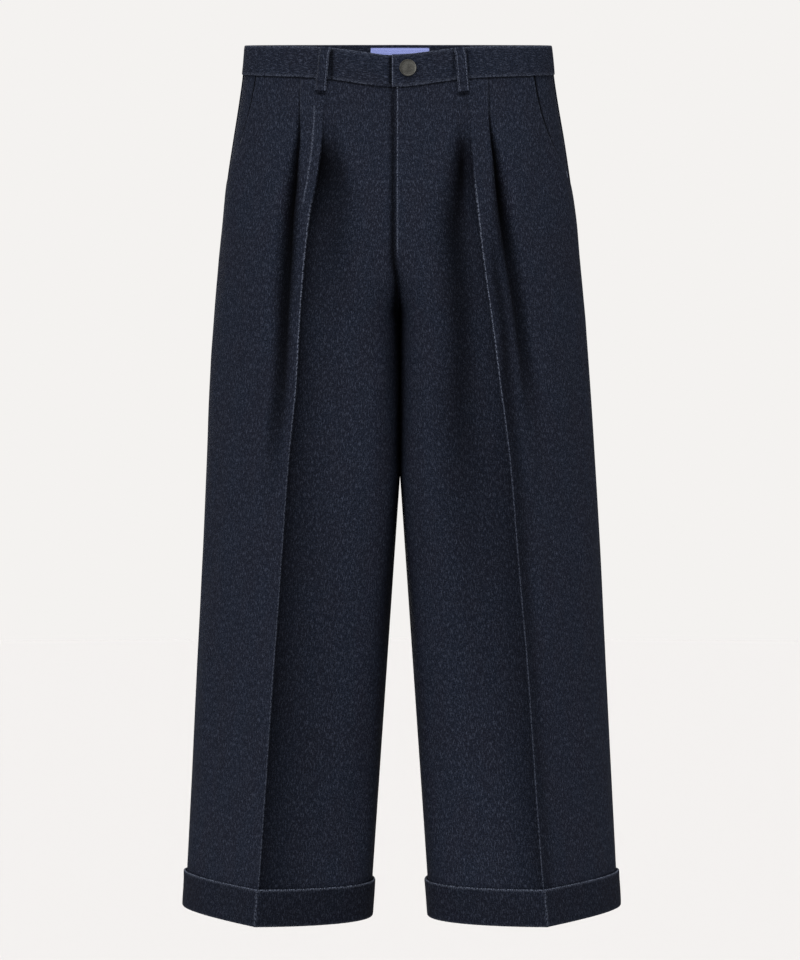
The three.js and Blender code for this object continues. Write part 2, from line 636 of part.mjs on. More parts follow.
// Bare label on the inner face of the waistband's back.
function waistLabel() {
  const rows = [1, 0.5, 0].map((share) => {
    const rise = 1 - (LABEL_TOP_DROP + (1 - share) * LABEL_HEIGHT) / BAND_HEIGHT;
    const row = [];
    for (let i = 0; i <= 8; i += 1) {
      const x = lerp(-LABEL_HALF_WIDTH, LABEL_HALF_WIDTH, i / 8);
      const side = x < 0 ? RIGHT : LEFT;
      const lap = lapAtX(side, SEAM_LEVEL, Math.max(Math.abs(x), 0.4), false);
      const inside = BAND_PROUD - BAND_CLOTH - GAP - LABEL_CLEAR;
      row.push(bandPoint(side, rise, lap).addScaledVector(bandNormal(side, lap), inside));
    }
    return row;
  });
  return wallGeometry(rows, LABEL_CLOTH, false);
}

// Turn-up cuff: an outer ply that stands clear of the leg, and the fold that runs under the leg's end.
function cuff(side) {
  const top = HEM_LEVEL + CUFF_HEIGHT;
  const outerFace = CUFF_CLEAR + CUFF_CLOTH;
  const profile = [
    { z: top, out: CUFF_CLEAR },
    { z: top, out: outerFace - CUFF_EDGE },
    { z: top - CUFF_EDGE, out: outerFace },
    { z: HEM_LEVEL + 2 * CUFF_EDGE, out: outerFace },
    { z: HEM_LEVEL, out: outerFace - 2 * CUFF_EDGE },
    { z: HEM_LEVEL, out: -CUFF_LIP },
    { z: HEM_LEVEL + BAND_CLOTH, out: -CUFF_LIP },
    { z: HEM_LEVEL + BAND_CLOTH, out: CUFF_CLEAR },
  ];
  const stations = [];
  for (let arc = 0; arc < 4; arc += 1) {
    for (let i = 0; i < CUFF_STATIONS; i += 1) {
      const lap = arc + i / CUFF_STATIONS;
      stations.push(profile.map(({ z, out }) => {
        const normal = skinNormal(side, z, clamp(lap, 0.03, 3.97));
        return skin(side, z, lap).addScaledVector(normal, out);
      }));
    }
  }
  return stripGeometry(stations, true);
}

// Belt loop: a flat strip sewn at the band's top edge and below its seam, standing off in between.
function beltLoop({ side, front, topX, bottomX }) {
  const path = [
    { rise: 1, stand: GAP },
    { rise: 0.88, stand: GAP },
    { rise: 0.76, stand: LOOP_STAND },
    { rise: 0.4, stand: LOOP_STAND },
    { rise: 0.05, stand: LOOP_STAND },
    { below: 3, stand: LOOP_STAND },
    { below: 7.5, stand: GAP },
    { below: LOOP_BELOW_SEAM, stand: GAP },
  ];
  const rows = path.map(({ rise, below, stand }, step) => {
    const centre = lerp(topX, bottomX, step / (path.length - 1));
    return [-0.5, 0, 0.5].map((share) => {
      const x = side * centre + share * LOOP_WIDTH;
      const on = x < 0 ? RIGHT : LEFT;
      const level = below ? SEAM_LEVEL - below : SEAM_LEVEL;
      const lap = lapAtX(on, level, Math.max(Math.abs(x), 0.4), front);
      const normal = bandNormal(on, lap);
      const base = below ? skin(on, level, lap) : bandPoint(on, rise, lap);
      return base.addScaledVector(normal, BAND_PROUD + stand + LOOP_CLOTH);
    });
  });
  return wallGeometry(rows, LOOP_CLOTH, front);
}

// Shank button: a dished disc on a short shank, standing on the waistband's face.
function button() {
  const disc = 2;
  const profile = [
    [0, GAP], [SHANK_RADIUS, GAP], [SHANK_RADIUS, disc], [BUTTON_RADIUS - 1, disc], [BUTTON_RADIUS, disc + 1],
    [BUTTON_RADIUS, disc + 1.8], [BUTTON_RADIUS - 1, disc + 2.6], [BUTTON_RADIUS - 3, disc + 2.2], [0, disc + 2],
  ].map(([radius, height]) => new THREE.Vector2(radius, height));
  const geometry = new THREE.LatheGeometry(profile, 28);
  const { lengths } = section(LEFT, SEAM_LEVEL);
  const lap = (BUTTON_X - FLY_EDGE_X) / lengths[0];
  const normal = bandNormal(LEFT, lap);
  const place = bandPoint(LEFT, BUTTON_RISE, lap).addScaledVector(normal, BAND_PROUD);
  const turn = new THREE.Quaternion().setFromUnitVectors(new THREE.Vector3(0, 1, 0), normal);
  geometry.applyQuaternion(turn);
  geometry.translate(place.x, place.y, place.z);
  geometry.deleteAttribute("normal");
  geometry.deleteAttribute("uv");
  const merged = mergeVertices(geometry, 1e-4);
  return outward([...merged.attributes.position.array], solidFaces(merged));
}

// The faces of a merged geometry that have an area.
function solidFaces(geometry) {
  const list = [...geometry.index.array];
  const faces = [];
  for (let i = 0; i < list.length; i += 3) {
    const [a, b, c] = list.slice(i, i + 3);
    if (a !== b && b !== c && c !== a) faces.push(a, b, c);
  }
  return faces;
}

for (const [side, word] of [[RIGHT, "right"], [LEFT, "left"]]) {
  add(`front_${word}`, frontPanel(side), DENIM);
  add(`back_${word}`, backPanel(side), DENIM);
  add(`pocket_facing_${word}`, pocketFacing(side), DENIM);
  add(`cuff_${word}`, cuff(side), DENIM);
}
add("fly_shield", flyShield(), DENIM);
add("waistband", waistband(), DENIM_BAND);
add("waist_label", waistLabel(), LILAC);
for (const loop of LOOPS) add(loop.name, beltLoop(loop), DENIM_BAND);
add("button", button(), GUNMETAL);

export default group;
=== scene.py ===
"""Looks of the dark slub denim jeans: pleats, pressed creases and turn-up cuffs, filled out as worn."""
import logging
import math
from dataclasses import dataclass, field
from enum import Enum
from typing import Any

import bmesh
import bpy
import numpy as np
from mathutils import Matrix, Vector


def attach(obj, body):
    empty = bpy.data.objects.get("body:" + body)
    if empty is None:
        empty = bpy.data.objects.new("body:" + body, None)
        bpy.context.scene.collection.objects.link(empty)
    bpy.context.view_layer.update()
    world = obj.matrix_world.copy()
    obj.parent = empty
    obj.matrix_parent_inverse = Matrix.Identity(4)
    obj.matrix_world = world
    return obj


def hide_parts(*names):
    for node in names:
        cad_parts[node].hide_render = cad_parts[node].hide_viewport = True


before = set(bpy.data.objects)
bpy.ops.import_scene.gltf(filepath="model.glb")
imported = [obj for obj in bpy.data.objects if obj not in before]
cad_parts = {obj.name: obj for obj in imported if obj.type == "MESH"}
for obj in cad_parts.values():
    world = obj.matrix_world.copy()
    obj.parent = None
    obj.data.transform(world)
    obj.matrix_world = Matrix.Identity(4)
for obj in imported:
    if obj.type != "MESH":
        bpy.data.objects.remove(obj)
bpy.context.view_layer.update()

BODY = "root"
MM = 0.001

log = logging.getLogger("jeans")

Grid = np.ndarray


class Side(Enum):
    """The wearer's right or left, as the sign of X."""

    RIGHT = -1
    LEFT = 1

    @property
    def word(self) -> str:
        """The word used in names."""
        return self.name.lower()

    @property
    def title(self) -> str:
        """The word that ends a table's column."""
        return self.name.capitalize()


def smoothstep(value: Any, low: float, high: float) -> Any:
    """Smooth share from 0 at low to 1 at high.

    Args:
        value: A number or an array.
        low: Where the share is 0.
        high: Where the share is 1.

    Returns:
        The share, of the shape of value.
    """
    share = np.clip((value - low) / (high - low), 0.0, 1.0)
    return share * share * (3.0 - 2.0 * share)


def bump(value: Any, width: float) -> Any:
    """Round hill of height 1 at 0, which falls to about a third at width."""
    return np.exp(-((value / width) ** 2))


@dataclass(frozen=True)
class Table:
    """Sizes in millimetres in named columns, a row for each level, read by a smooth curve through them."""

    columns: tuple[str, ...]
    rows: tuple[tuple[float, ...], ...]

    def read(self, column: str, level: Any) -> Grid:
        """Reads one column.

        Args:
            column: The column's name.
            level: A level or an array of levels.

        Returns:
            The values at those levels.
        """
        data = np.array(self.rows, float)
        levels = data[:, 0]
        values = data[:, self.columns.index(column)]
        slopes = np.diff(values) / np.diff(levels)
        before, after = slopes[:-1], slopes[1:]
        total = np.where(np.abs(before + after) < 1e-12, 1.0, before + after)
        middle = np.where(before * after <= 0, 0.0, 2 * before * after / total)
        knots = np.concatenate([slopes[:1], middle, slopes[-1:]])
        at = np.clip(np.asarray(level, float), levels[-1], levels[0])
        row = np.clip(np.searchsorted(-levels, -at, side="right") - 1, 0, len(levels) - 2)
        span = levels[row + 1] - levels[row]
        t = (at - levels[row]) / span
        start = values[row] * (2 * t**3 - 3 * t**2 + 1) + knots[row] * span * (t**3 - 2 * t**2 + t)
        return start + values[row + 1] * (3 * t**2 - 2 * t**3) + knots[row + 1] * span * (t**3 - t**2)

    def side(self, stem: str, side: Side, level: Any) -> Grid:
        """Reads the column of one side, such as outerRight or outerLeft."""
        return self.read(stem + side.title, level)


# Level sections of the legs: side seam, front crease and rear crease, and how the cloth runs between them.
SECTIONS = Table(
    ("level", "outerRight", "outerLeft", "creaseRight", "creaseLeft", "creaseY", "lean", "full", "turn",
     "reach", "outerY", "rearX", "rearY", "rearLean"),
    (
        (16, 188.5, 184, 89, 80.5, -74, -0.2, 0.45, 10, 0.4, 2, 83, 71, 0.2),
        (-20, 191.5, 187.5, 90, 81.5, -78, -0.2, 0.45, 10, 0.4, 2, 85, 76, 0.2),
        (-60, 197, 193.5, 90.5, 82.5, -89, -0.12, 0.45, 12, 0.4, 2, 88, 93, 0.14),
        (-100, 203.5, 200.5, 92.5, 84, -99, -0.04, 0.45, 14, 0.4, 3, 90, 107, 0.08),
        (-150, 211, 208, 98, 87.5, -109, 0.02, 0.45, 17, 0.4, 3, 93, 121, 0.03),
        (-200, 216, 215, 106, 92, -116, 0.03, 0.45, 20, 0.39, 4, 95, 129, 0),
        (-245, 220.5, 219, 110.5, 96.5, -120, 0.03, 0.5, 23, 0.38, 5, 98, 129, 0),
        (-311, 226.5, 225.5, 116, 105.5, -122, 0.03, 0.8, 26, 0.36, 10, 104, 120, 0),
        (-400, 232.5, 232.5, 121, 117, -121, 0.03, 0.86, 30, 0.33, 13, 109, 108, 0),
        (-480, 236, 238, 129, 127, -119, 0.03, 0.84, 33, 0.31, 17, 114, 102, 0),
        (-600, 241.5, 245.5, 138, 137.5, -116, 0.03, 0.72, 37, 0.29, 22, 121, 96, 0),
        (-740, 249, 252.5, 148, 149.5, -112, 0.03, 0.56, 40, 0.26, 26, 127, 90, 0),
        (-880, 256, 260, 158, 159, -108, 0.03, 0.47, 43, 0.24, 30, 131, 85, 0),
        (-1032, 264, 268, 168.5, 171, -105, 0.03, 0.45, 45, 0.22, 33, 134, 80, 0),
    ),
)
# Depth of the centre front and centre back seams above the crotch curve.
CENTRE_SEAMS = Table(
    ("level", "frontY", "backY"),
    ((16, -84, 80), (-20, -87, 84), (-60, -93, 94), (-100, -99, 105), (-150, -105, 117), (-200, -109, 125),
     (-245, -109, 124)),
)
# Below the crotch the inner side of each leg, and how far it keeps straight to the front and back.
INNER_LEG = Table(
    ("level", "y", "front", "back"),
    ((-311, 5, 116, 108), (-400, -2, 106, 96), (-480, -10, 97, 88), (-600, -20, 84, 76), (-740, -26, 70, 62),
     (-1032, -32, 53, 45)),
)
# Outer pleat: a valley, closed at the waist seam. Its offset is from the crease, in the cloth.
OUTER_PLEAT = Table(
    ("level", "offsetRight", "offsetLeft", "half", "depth"),
    ((-20, 30, 24, 2, 0.6), (-60, 29.5, 24, 2.5, 2), (-92, 29, 26.5, 4, 6), (-123, 30, 29.5, 6, 11),
     (-160, 28.7, 31, 8, 14), (-200, 26.5, 33, 10, 13), (-245, 25, 35.5, 12, 10), (-311, 23.8, 39, 14, 7),
     (-390, 23, 40, 16, 3.5), (-480, 23, 40, 18, 0), (-1032, 23, 40, 18, 0)),
)
# Inner pleat: the crease stands over a recess on its inner side, which runs on as the crease's flank.
INNER_PLEAT = Table(
    ("level", "width", "depthRight", "depthLeft", "crisp"),
    ((-20, 4, 0, 0, 0.6), (-60, 5, 1.5, 1.5, 0.6), (-95, 6, 5, 4, 0.6), (-125, 8, 10, 9, 0.6),
     (-165, 11, 13, 12, 0.65), (-210, 15, 11, 10, 0.75), (-260, 17, 9, 7.5, 0.85), (-330, 19, 7, 5, 1),
     (-420, 20, 5.5, 3.5, 1), (-700, 20, 4, 2.5, 1), (-1032, 18, 3, 2, 1)),
)
# Slant pocket: how far its mouth lies from the side seam, in the cloth. It follows the photograph, up to
# 14 mm further from the seam than in the solids.
POCKET_MOUTH = Table(
    ("level", "right", "left"),
    ((-20, 51.5, 61.6), (-60, 52, 64), (-85, 50, 62), (-100, 46.5, 58), (-115, 40, 51), (-130, 31, 41),
     (-145, 20, 27), (-156, 10, 14), (-166, 0, 0)),
)
# Painted shade on the front: how dark the colour is made under the crease's inner flank, in the soft
# trough beside it, on its outer flank and in the outer pleat, where shadow falls. The trough's share also
# sinks the cloth. Reaches and offsets are from the crease, in the cloth.
FOLD_SHADE = Table(
    ("level", "innerRight", "innerLeft", "reachRight", "reachLeft", "hold", "troughRight", "troughLeft",
     "offsetRight", "offsetLeft", "spread", "flankLeft", "pleatRight", "pleatLeft", "pleatIn", "pleatOut"),
    (
        (-20, 0.3, 0.42, 1.4, 1.4, 0.5, 0, 0, 12, 10, 7, 0, 0.3, 0.5, 0.9, 0.9),
        (-60, 0.4, 0.42, 2, 1.6, 0.6, 0, 0, 12, 10, 7, 0, 0.6, 0.7, 1.4, 1.4),
        (-80, 0.6, 0.42, 5, 3, 1, 0.15, 0.2, 13, 11, 6, 0, 0.8, 0.8, 2.4, 2.4),
        (-100, 0.82, 0.46, 12, 7, 2, 0.36, 0.76, 16, 12, 8, 0, 0.93, 0.93, 4, 4),
        (-125, 0.92, 0.5, 24, 8, 3, 0.4, 0.97, 22, 14, 10, 0, 0.97, 0.97, 6.5, 6),
        (-172, 0.74, 0.42, 33, 9, 3, 0.36, 0.88, 34, 22, 14, 0, 0.98, 0.98, 11, 9),
        (-218, 0.66, 0.4, 30, 12, 1.4, 0.36, 0.8, 36, 31, 18, 0.2, 0.95, 0.9, 14.5, 11),
        (-275, 0.68, 0.42, 26, 14, 1.1, 0.2, 0.74, 40, 34, 19, 0.62, 0.9, 0.76, 14, 13),
        (-345, 0.72, 0.48, 22, 16, 1.1, 0.05, 0.7, 42, 40, 20, 0.66, 0.85, 0.7, 12.5, 12),
        (-440, 0.76, 0.52, 26, 22, 1.1, 0, 0.58, 44, 52, 25, 0.58, 0.6, 0.22, 13, 13),
        (-500, 0.76, 0.55, 30, 32, 1.1, 0, 0.4, 44, 56, 28, 0.5, 0.2, 0.05, 13, 13),
        (-556, 0.76, 0.56, 35, 40, 1.1, 0, 0.25, 44, 60, 30, 0.48, 0, 0, 13, 13),
        (-708, 0.76, 0.56, 46, 42, 1.1, 0, 0.08, 44, 64, 30, 0.42, 0, 0, 13, 13),
        (-860, 0.74, 0.6, 54, 30, 1.1, 0, 0, 44, 64, 30, 0.36, 0, 0, 13, 13),
        (-1032, 0.68, 0.54, 54, 22, 1.1, 0, 0, 44, 64, 30, 0.34, 0, 0, 13, 13),
    ),
)
# Painted shade, the same way, for the fly's edge, the fork and the inner legs: how dark the colour is
# made, how far from the centre edge that is, and how far it reaches.
EDGE_SHADE = Table(
    ("level", "right", "left", "middle", "reachRight", "reachLeft"),
    ((-20, 0.6, 0, 4.5, 3.4, 2), (-100, 0.72, 0, 4.5, 3.6, 2), (-218, 0.84, 0, 4.5, 4, 2),
     (-245, 0.9, 0, 4.5, 4.5, 2), (-275, 0.95, 0.2, 4.6, 4.6, 2), (-345, 0.6, 0.2, 3.5, 4, 2),
     (-440, 0.3, 0.2, 2, 5, 3), (-556, 0.6, 0.4, 0, 9, 4), (-650, 0.66, 0.5, 0, 12, 8),
     (-780, 0.45, 0.28, 0, 10, 8), (-1032, 0.35, 0.2, 0, 8, 8)),
)


@dataclass(frozen=True)
class Sizes:
    """Named sizes of the garment in millimetres.

    They are those of its solids, apart from the seams, which are closed here where the solids keep a
    hairline gap, and the ends of the pocket's mouth and facing.
    """

    cloth: float = 1.6
    band_cloth: float = 2.4
    loop_cloth: float = 1.6
    facing_cloth: float = 1.4
    label_cloth: float = 1.0
    gap: float = 0.3
    waist_level: float = 16
    seam_level: float = -20
    tilt_end: float = -260
    fork_start: float = -245
    rear_fork_start: float = -195
    crotch_level: float = -311
    hem_level: float = -1032
    fork_y: float = 5
    centre_flat: float = 0.4
    legs_part_level: float = -505
    legs_part_slope: float = 0.0685
    mouth_end: float = -166
    facing_end: float = -178
    waist_side_z: float = 18
    waist_slope: float = 0.205
    dip_depth: float = 9.5
    dip_width: float = 60
    dip_x: float = -7
    band_height: float = 35.5
    band_front_extra: float = 3
    band_front_width: float = 110
    band_proud: float = 0.8
    band_clear: float = 0.1
    seam_lap: float = 1.8
    fly_edge_x: float = -4
    fly_end: float = -243
    band_end_x: float = -9.4
    band_under_x: float = 32


S = Sizes()
ARC_STEPS = np.linspace(0.0, 1.0, 201)


def bezier(controls: Grid, t: Grid) -> Grid:
    """Points of cubic curves.

    Args:
        controls: Arrays of four control points, (..., 4, 2).
        t: The places along the curves, (...).

    Returns:
        The points, (..., 2).
    """
    t = t[..., None]
    u = 1.0 - t
    a, b, c, d = (controls[..., k, :] for k in range(4))
    return a * u**3 + 3 * b * u * u * t + 3 * c * u * t * t + d * t**3


class BodyForm:
    """Smooth filled-out body of the garment, which every piece is laid on. Lengths are in millimetres.

    Guides stand at shares of a curve's chord or run, and the second share of a pair is what the pressed
    creases add or take below press_levels.
    """

    fly_run: float = 35
    halvings: int = 22
    press_levels: tuple[float, float] = (300, 620)
    crease_guide: float = 0.36
    side_guide: tuple[float, float] = (0.4, 0.2)
    rear_guide: tuple[float, float] = (0.38, 0.08)
    seat_guide: tuple[float, float] = (0.42, 0.12)

    def __init__(self) -> None:
        """Starts with no sections worked out."""
        self._sections: dict[tuple[int, bytes], tuple[Grid, Grid]] = {}

    def fork(self, level: Grid, start: float = S.fork_start) -> Grid:
        """Angle along the crotch curve, from 0 at the centre seams to a quarter turn at the crotch."""
        return np.arcsin(np.clip((start - level) / (start - S.crotch_level), 0, 1))

    def leg_gap(self, level: Grid) -> Grid:
        """Half the distance between the legs, which touch down to where they part."""
        return np.maximum(0, S.legs_part_level - level) * S.legs_part_slope

    def front_edge_x(self, side: Side, level: Grid) -> Grid:
        """X of the centre front edge: the fly's edge above, the middle below."""
        below = smoothstep(-level, -S.fly_end, -S.fly_end + self.fly_run)
        return S.fly_edge_x * (1 - below) + side.value * self.leg_gap(level)

    def _controls(self, side: Side, level: Grid) -> Grid:
        """Control points of the four curves of each section, from the centre front to the centre back."""
        s = side.value
        front_fork, rear_fork = self.fork(level), self.fork(level, S.rear_fork_start)
        below = level < S.crotch_level
        crease = np.stack([s * SECTIONS.side("crease", side, level), SECTIONS.read("creaseY", level)], -1)
        outer = np.stack([s * SECTIONS.side("outer", side, level), SECTIONS.read("outerY", level)], -1)
        rear = np.stack([s * SECTIONS.read("rearX", level), SECTIONS.read("rearY", level)], -1)
        inner_y = INNER_LEG.read("y", level)
        flat_front = CENTRE_SEAMS.read("frontY", level)
        flat_back = CENTRE_SEAMS.read("backY", level)
        front_y = np.where(below, inner_y, S.fork_y + (flat_front - S.fork_y) * np.cos(front_fork))
        back_y = np.where(below, inner_y, S.fork_y + (flat_back - S.fork_y) * np.cos(rear_fork))
        front = np.stack([self.front_edge_x(side, level), front_y], -1)
        back = np.stack([s * self.leg_gap(level), back_y], -1)
        front_turn = smoothstep(np.sin(front_fork), 0, 1)
        back_turn = smoothstep(np.sin(rear_fork), 0, 1)
        spread_front = np.where(below, 0, S.centre_flat * np.abs(crease[:, 0]) * (1 - front_turn))
        spread_back = np.where(below, 0, S.centre_flat * np.abs(rear[:, 0]) * (1 - back_turn))
        guide_front = inner_y - INNER_LEG.read("front", level)
        guide_back = inner_y + INNER_LEG.read("back", level)
        guide_front = np.where(below, guide_front, flat_front + (guide_front - flat_front) * front_turn)
        guide_back = np.where(below, guide_back, flat_back + (guide_back - flat_back) * back_turn)
        front_guide = np.stack([front[:, 0] + s * spread_front, guide_front], -1)
        back_guide = np.stack([back[:, 0] + s * spread_back, guide_back], -1)
        turn = np.radians(SECTIONS.read("turn", level))
        reach = SECTIONS.read("reach", level)
        pressed = smoothstep(-level, *self.press_levels)
        front_chord = np.linalg.norm(crease - outer, axis=-1)
        rear_chord = np.linalg.norm(rear - outer, axis=-1)
        crease_reach = SECTIONS.read("full", level) * np.abs(crease[:, 0] - front[:, 0])
        rear_lean = SECTIONS.read("rearLean", level)
        rear_back = np.abs(rear[:, 0] - back[:, 0])

        def beside(point: Grid, across: Grid, along: Grid) -> Grid:
            """A guide that lies across and along from a point."""
            return np.stack([point[:, 0] + s * across, point[:, 1] + along], -1)

        zero = np.zeros_like(level)
        lean = SECTIONS.read("lean", level)
        crease_out = self.crease_guide * front_chord
        side_back = (self.side_guide[0] - self.side_guide[1] * pressed) * rear_chord
        rear_out, rear_in = self.rear_guide[0], self.seat_guide[0]
        rear_front = -(rear_lean * rear_out + self.rear_guide[1] * pressed) * rear_chord
        seat_drop = (rear_lean * rear_in - self.seat_guide[1] * pressed) * np.abs(rear[:, 0])
        arcs = [
            (front, front_guide, beside(crease, -crease_reach, lean * crease_reach), crease),
            (crease, beside(crease, crease_out * np.cos(turn), crease_out * np.sin(turn)),
             beside(outer, zero, -reach * front_chord), outer),
            (outer, beside(outer, zero, side_back), beside(rear, rear_out * rear_chord, rear_front), rear),
            (rear, beside(rear, -rear_in * rear_back, seat_drop), back_guide, back),
        ]
        return np.stack([np.stack(arc, 1) for arc in arcs], 1)

    def sections(self, side: Side, levels: Grid) -> tuple[Grid, Grid]:
        """Sections at some levels.

        Args:
            side: The wearer's side.
            levels: The levels, (m,).

        Returns:
            The control points, (m, 4, 4, 2), and the lengths travelled along the curves, (m, 4, 201).
        """
        key = (side.value, np.asarray(levels, float).tobytes())
        if key not in self._sections:
            controls = self._controls(side, np.asarray(levels, float))
            steps = np.broadcast_to(ARC_STEPS, controls.shape[:2] + ARC_STEPS.shape)
            points = bezier(controls[:, :, None], steps)
            steps = np.linalg.norm(np.diff(points, axis=2), axis=-1)
            travelled = np.concatenate([np.zeros(steps.shape[:2] + (1,)), np.cumsum(steps, 2)], 2)
            self._sections[key] = (controls, travelled)
        return self._sections[key]

    def lengths(self, side: Side, levels: Grid) -> Grid:
        """Lengths of the four curves of each section, (m, 4)."""
        return self.sections(side, levels)[1][:, :, -1]

    def flat(self, side: Side, levels: Grid, laps: Grid) -> Grid:
        """Points of the level sections.

        Args:
            side: The wearer's side.
            levels: The levels, (m,).
            laps: Where round the body: 0 centre front, 1 crease, 2 side seam, 3 rear crease, 4 centre
                back, each measured along the cloth, (m, n).

        Returns:
            The points, (m, n, 2).
        """
        controls, travelled = self.sections(side, levels)
        arc = np.clip(np.floor(laps).astype(int), 0, 3)
        local = np.clip(laps - arc, 0, 1)
        share = np.zeros_like(local)
        for row in range(len(levels)):
            for index in range(4):
                hit = arc[row] == index
                if hit.any():
                    run = travelled[row, index]
                    share[row, hit] = np.interp(local[row, hit] * run[-1], run, ARC_STEPS)
        return bezier(controls[np.arange(len(levels))[:, None], arc], share)

    def band_height(self, x: Grid, y: Grid) -> Grid:
        """Height of the waistband over a point of the waist."""
        return S.band_height + S.band_front_extra * bump(x, S.band_front_width) * smoothstep(-y, 0, 60)

    def seam_z(self, x: Grid, y: Grid) -> Grid:
        """Height of the waist seam: lower at the front, higher at the back."""
        dip = S.dip_depth * bump(x - S.dip_x, S.dip_width) * smoothstep(-y, 0, 60)
        return S.waist_side_z + S.waist_slope * y - dip - self.band_height(x, y)

    def skin(self, side: Side, levels: Grid, laps: Grid) -> Grid:
        """Points of the body, (m, n, 3), with the sections near the waist tilted as the waist is."""
        flat = self.flat(side, levels, laps)
        x, y = flat[..., 0], flat[..., 1]
        tilted = smoothstep(levels, S.tilt_end, S.seam_level)[:, None]
        z = levels[:, None] + (self.seam_z(x, y) - S.seam_level) * tilted
        return np.stack([x, y, z], -1)

    def normals(self, side: Side, levels: Grid, laps: Grid) -> Grid:
        """Outward directions of the body, (m, n, 3)."""
        ahead = self.skin(side, levels, np.clip(laps + 0.02, 0, 4))
        behind = self.skin(side, levels, np.clip(laps - 0.02, 0, 4))
        down = self.skin(side, levels - 3, laps) - self.skin(side, levels + 3, laps)
        return unit(np.cross(ahead - behind, down) * -side.value)

    def band(self, side: Side, rises: Grid, laps: Grid) -> Grid:
        """Middle surface of the waistband: rise is 0 at its seam and 1 at its top edge.

        Args:
            side: The wearer's side.
            rises: The rises, (m,).
            laps: Where round the waist, (n,).

        Returns:
            The points, (m, n, 3).
        """
        levels = S.seam_level + (S.waist_level - S.seam_level) * np.asarray(rises, float)
        flat = self.flat(side, levels, np.broadcast_to(laps, (len(levels), len(laps))).copy())
        x, y = flat[..., 0], flat[..., 1]
        z = self.seam_z(x, y) + S.band_clear + np.asarray(rises)[:, None] * self.band_height(x, y)
        return np.stack([x, y, z], -1)

    def band_normals(self, side: Side, laps: Grid) -> Grid:
        """Outward directions of the waistband, (n, 3)."""
        half = np.array([0.5])
        along = (self.band(side, half, np.clip(laps + 0.04, 0, 4))
                 - self.band(side, half, np.clip(laps - 0.04, 0, 4)))[0]
        edges = self.band(side, np.array([0.0, 1.0]), laps)
        return unit(np.cross(along, edges[0] - edges[1]) * -side.value)

    def lap_at_x(self, side: Side, level: float, x: float, front: bool) -> float:
        """Lap at which the body reaches a distance from the middle, on its front or its back."""
        low, high = (0.0, 2.0) if front else (4.0, 2.0)
        for _ in range(self.halvings):
            middle = (low + high) / 2
            at = self.flat(side, np.array([level]), np.array([[middle]]))[0, 0, 0]
            if side.value * at < x:
                low = middle
            else:
                high = middle
        return (low + high) / 2


def unit(vectors: Grid) -> Grid:
    """The same directions, each of length 1."""
    return vectors / np.maximum(np.linalg.norm(vectors, axis=-1, keepdims=True), 1e-9)


FORM = BodyForm()


@dataclass(frozen=True)
class Drift:
    """Slight unevenness of hanging cloth: long soft troughs and ridges, mostly along the drop.

    Each wave has its own length across and down the cloth, its own start and its own height.
    """

    seed: int
    height: float = 0.8
    across: float = 95
    down: float = 330
    waves: int = 9

    def at(self, across: Grid, down: Grid) -> Grid:
        """Height of the cloth over its smooth form.

        Args:
            across: Places across the cloth, in millimetres.
            down: Places down the cloth, in millimetres.

        Returns:
            Heights in millimetres, both ways from 0.
        """
        random = np.random.default_rng(self.seed)
        total = np.zeros(np.broadcast(across, down).shape)
        for _ in range(self.waves):
            run = self.across * random.uniform(0.45, 1.6)
            drop = self.down * random.uniform(0.5, 1.8) * random.choice([-1, 1])
            start = random.uniform(0, 2 * math.pi)
            total += np.sin(2 * math.pi * (across / run + down / drop) + start) * random.uniform(0.5, 1)
        return total * self.height / math.sqrt(self.waves)


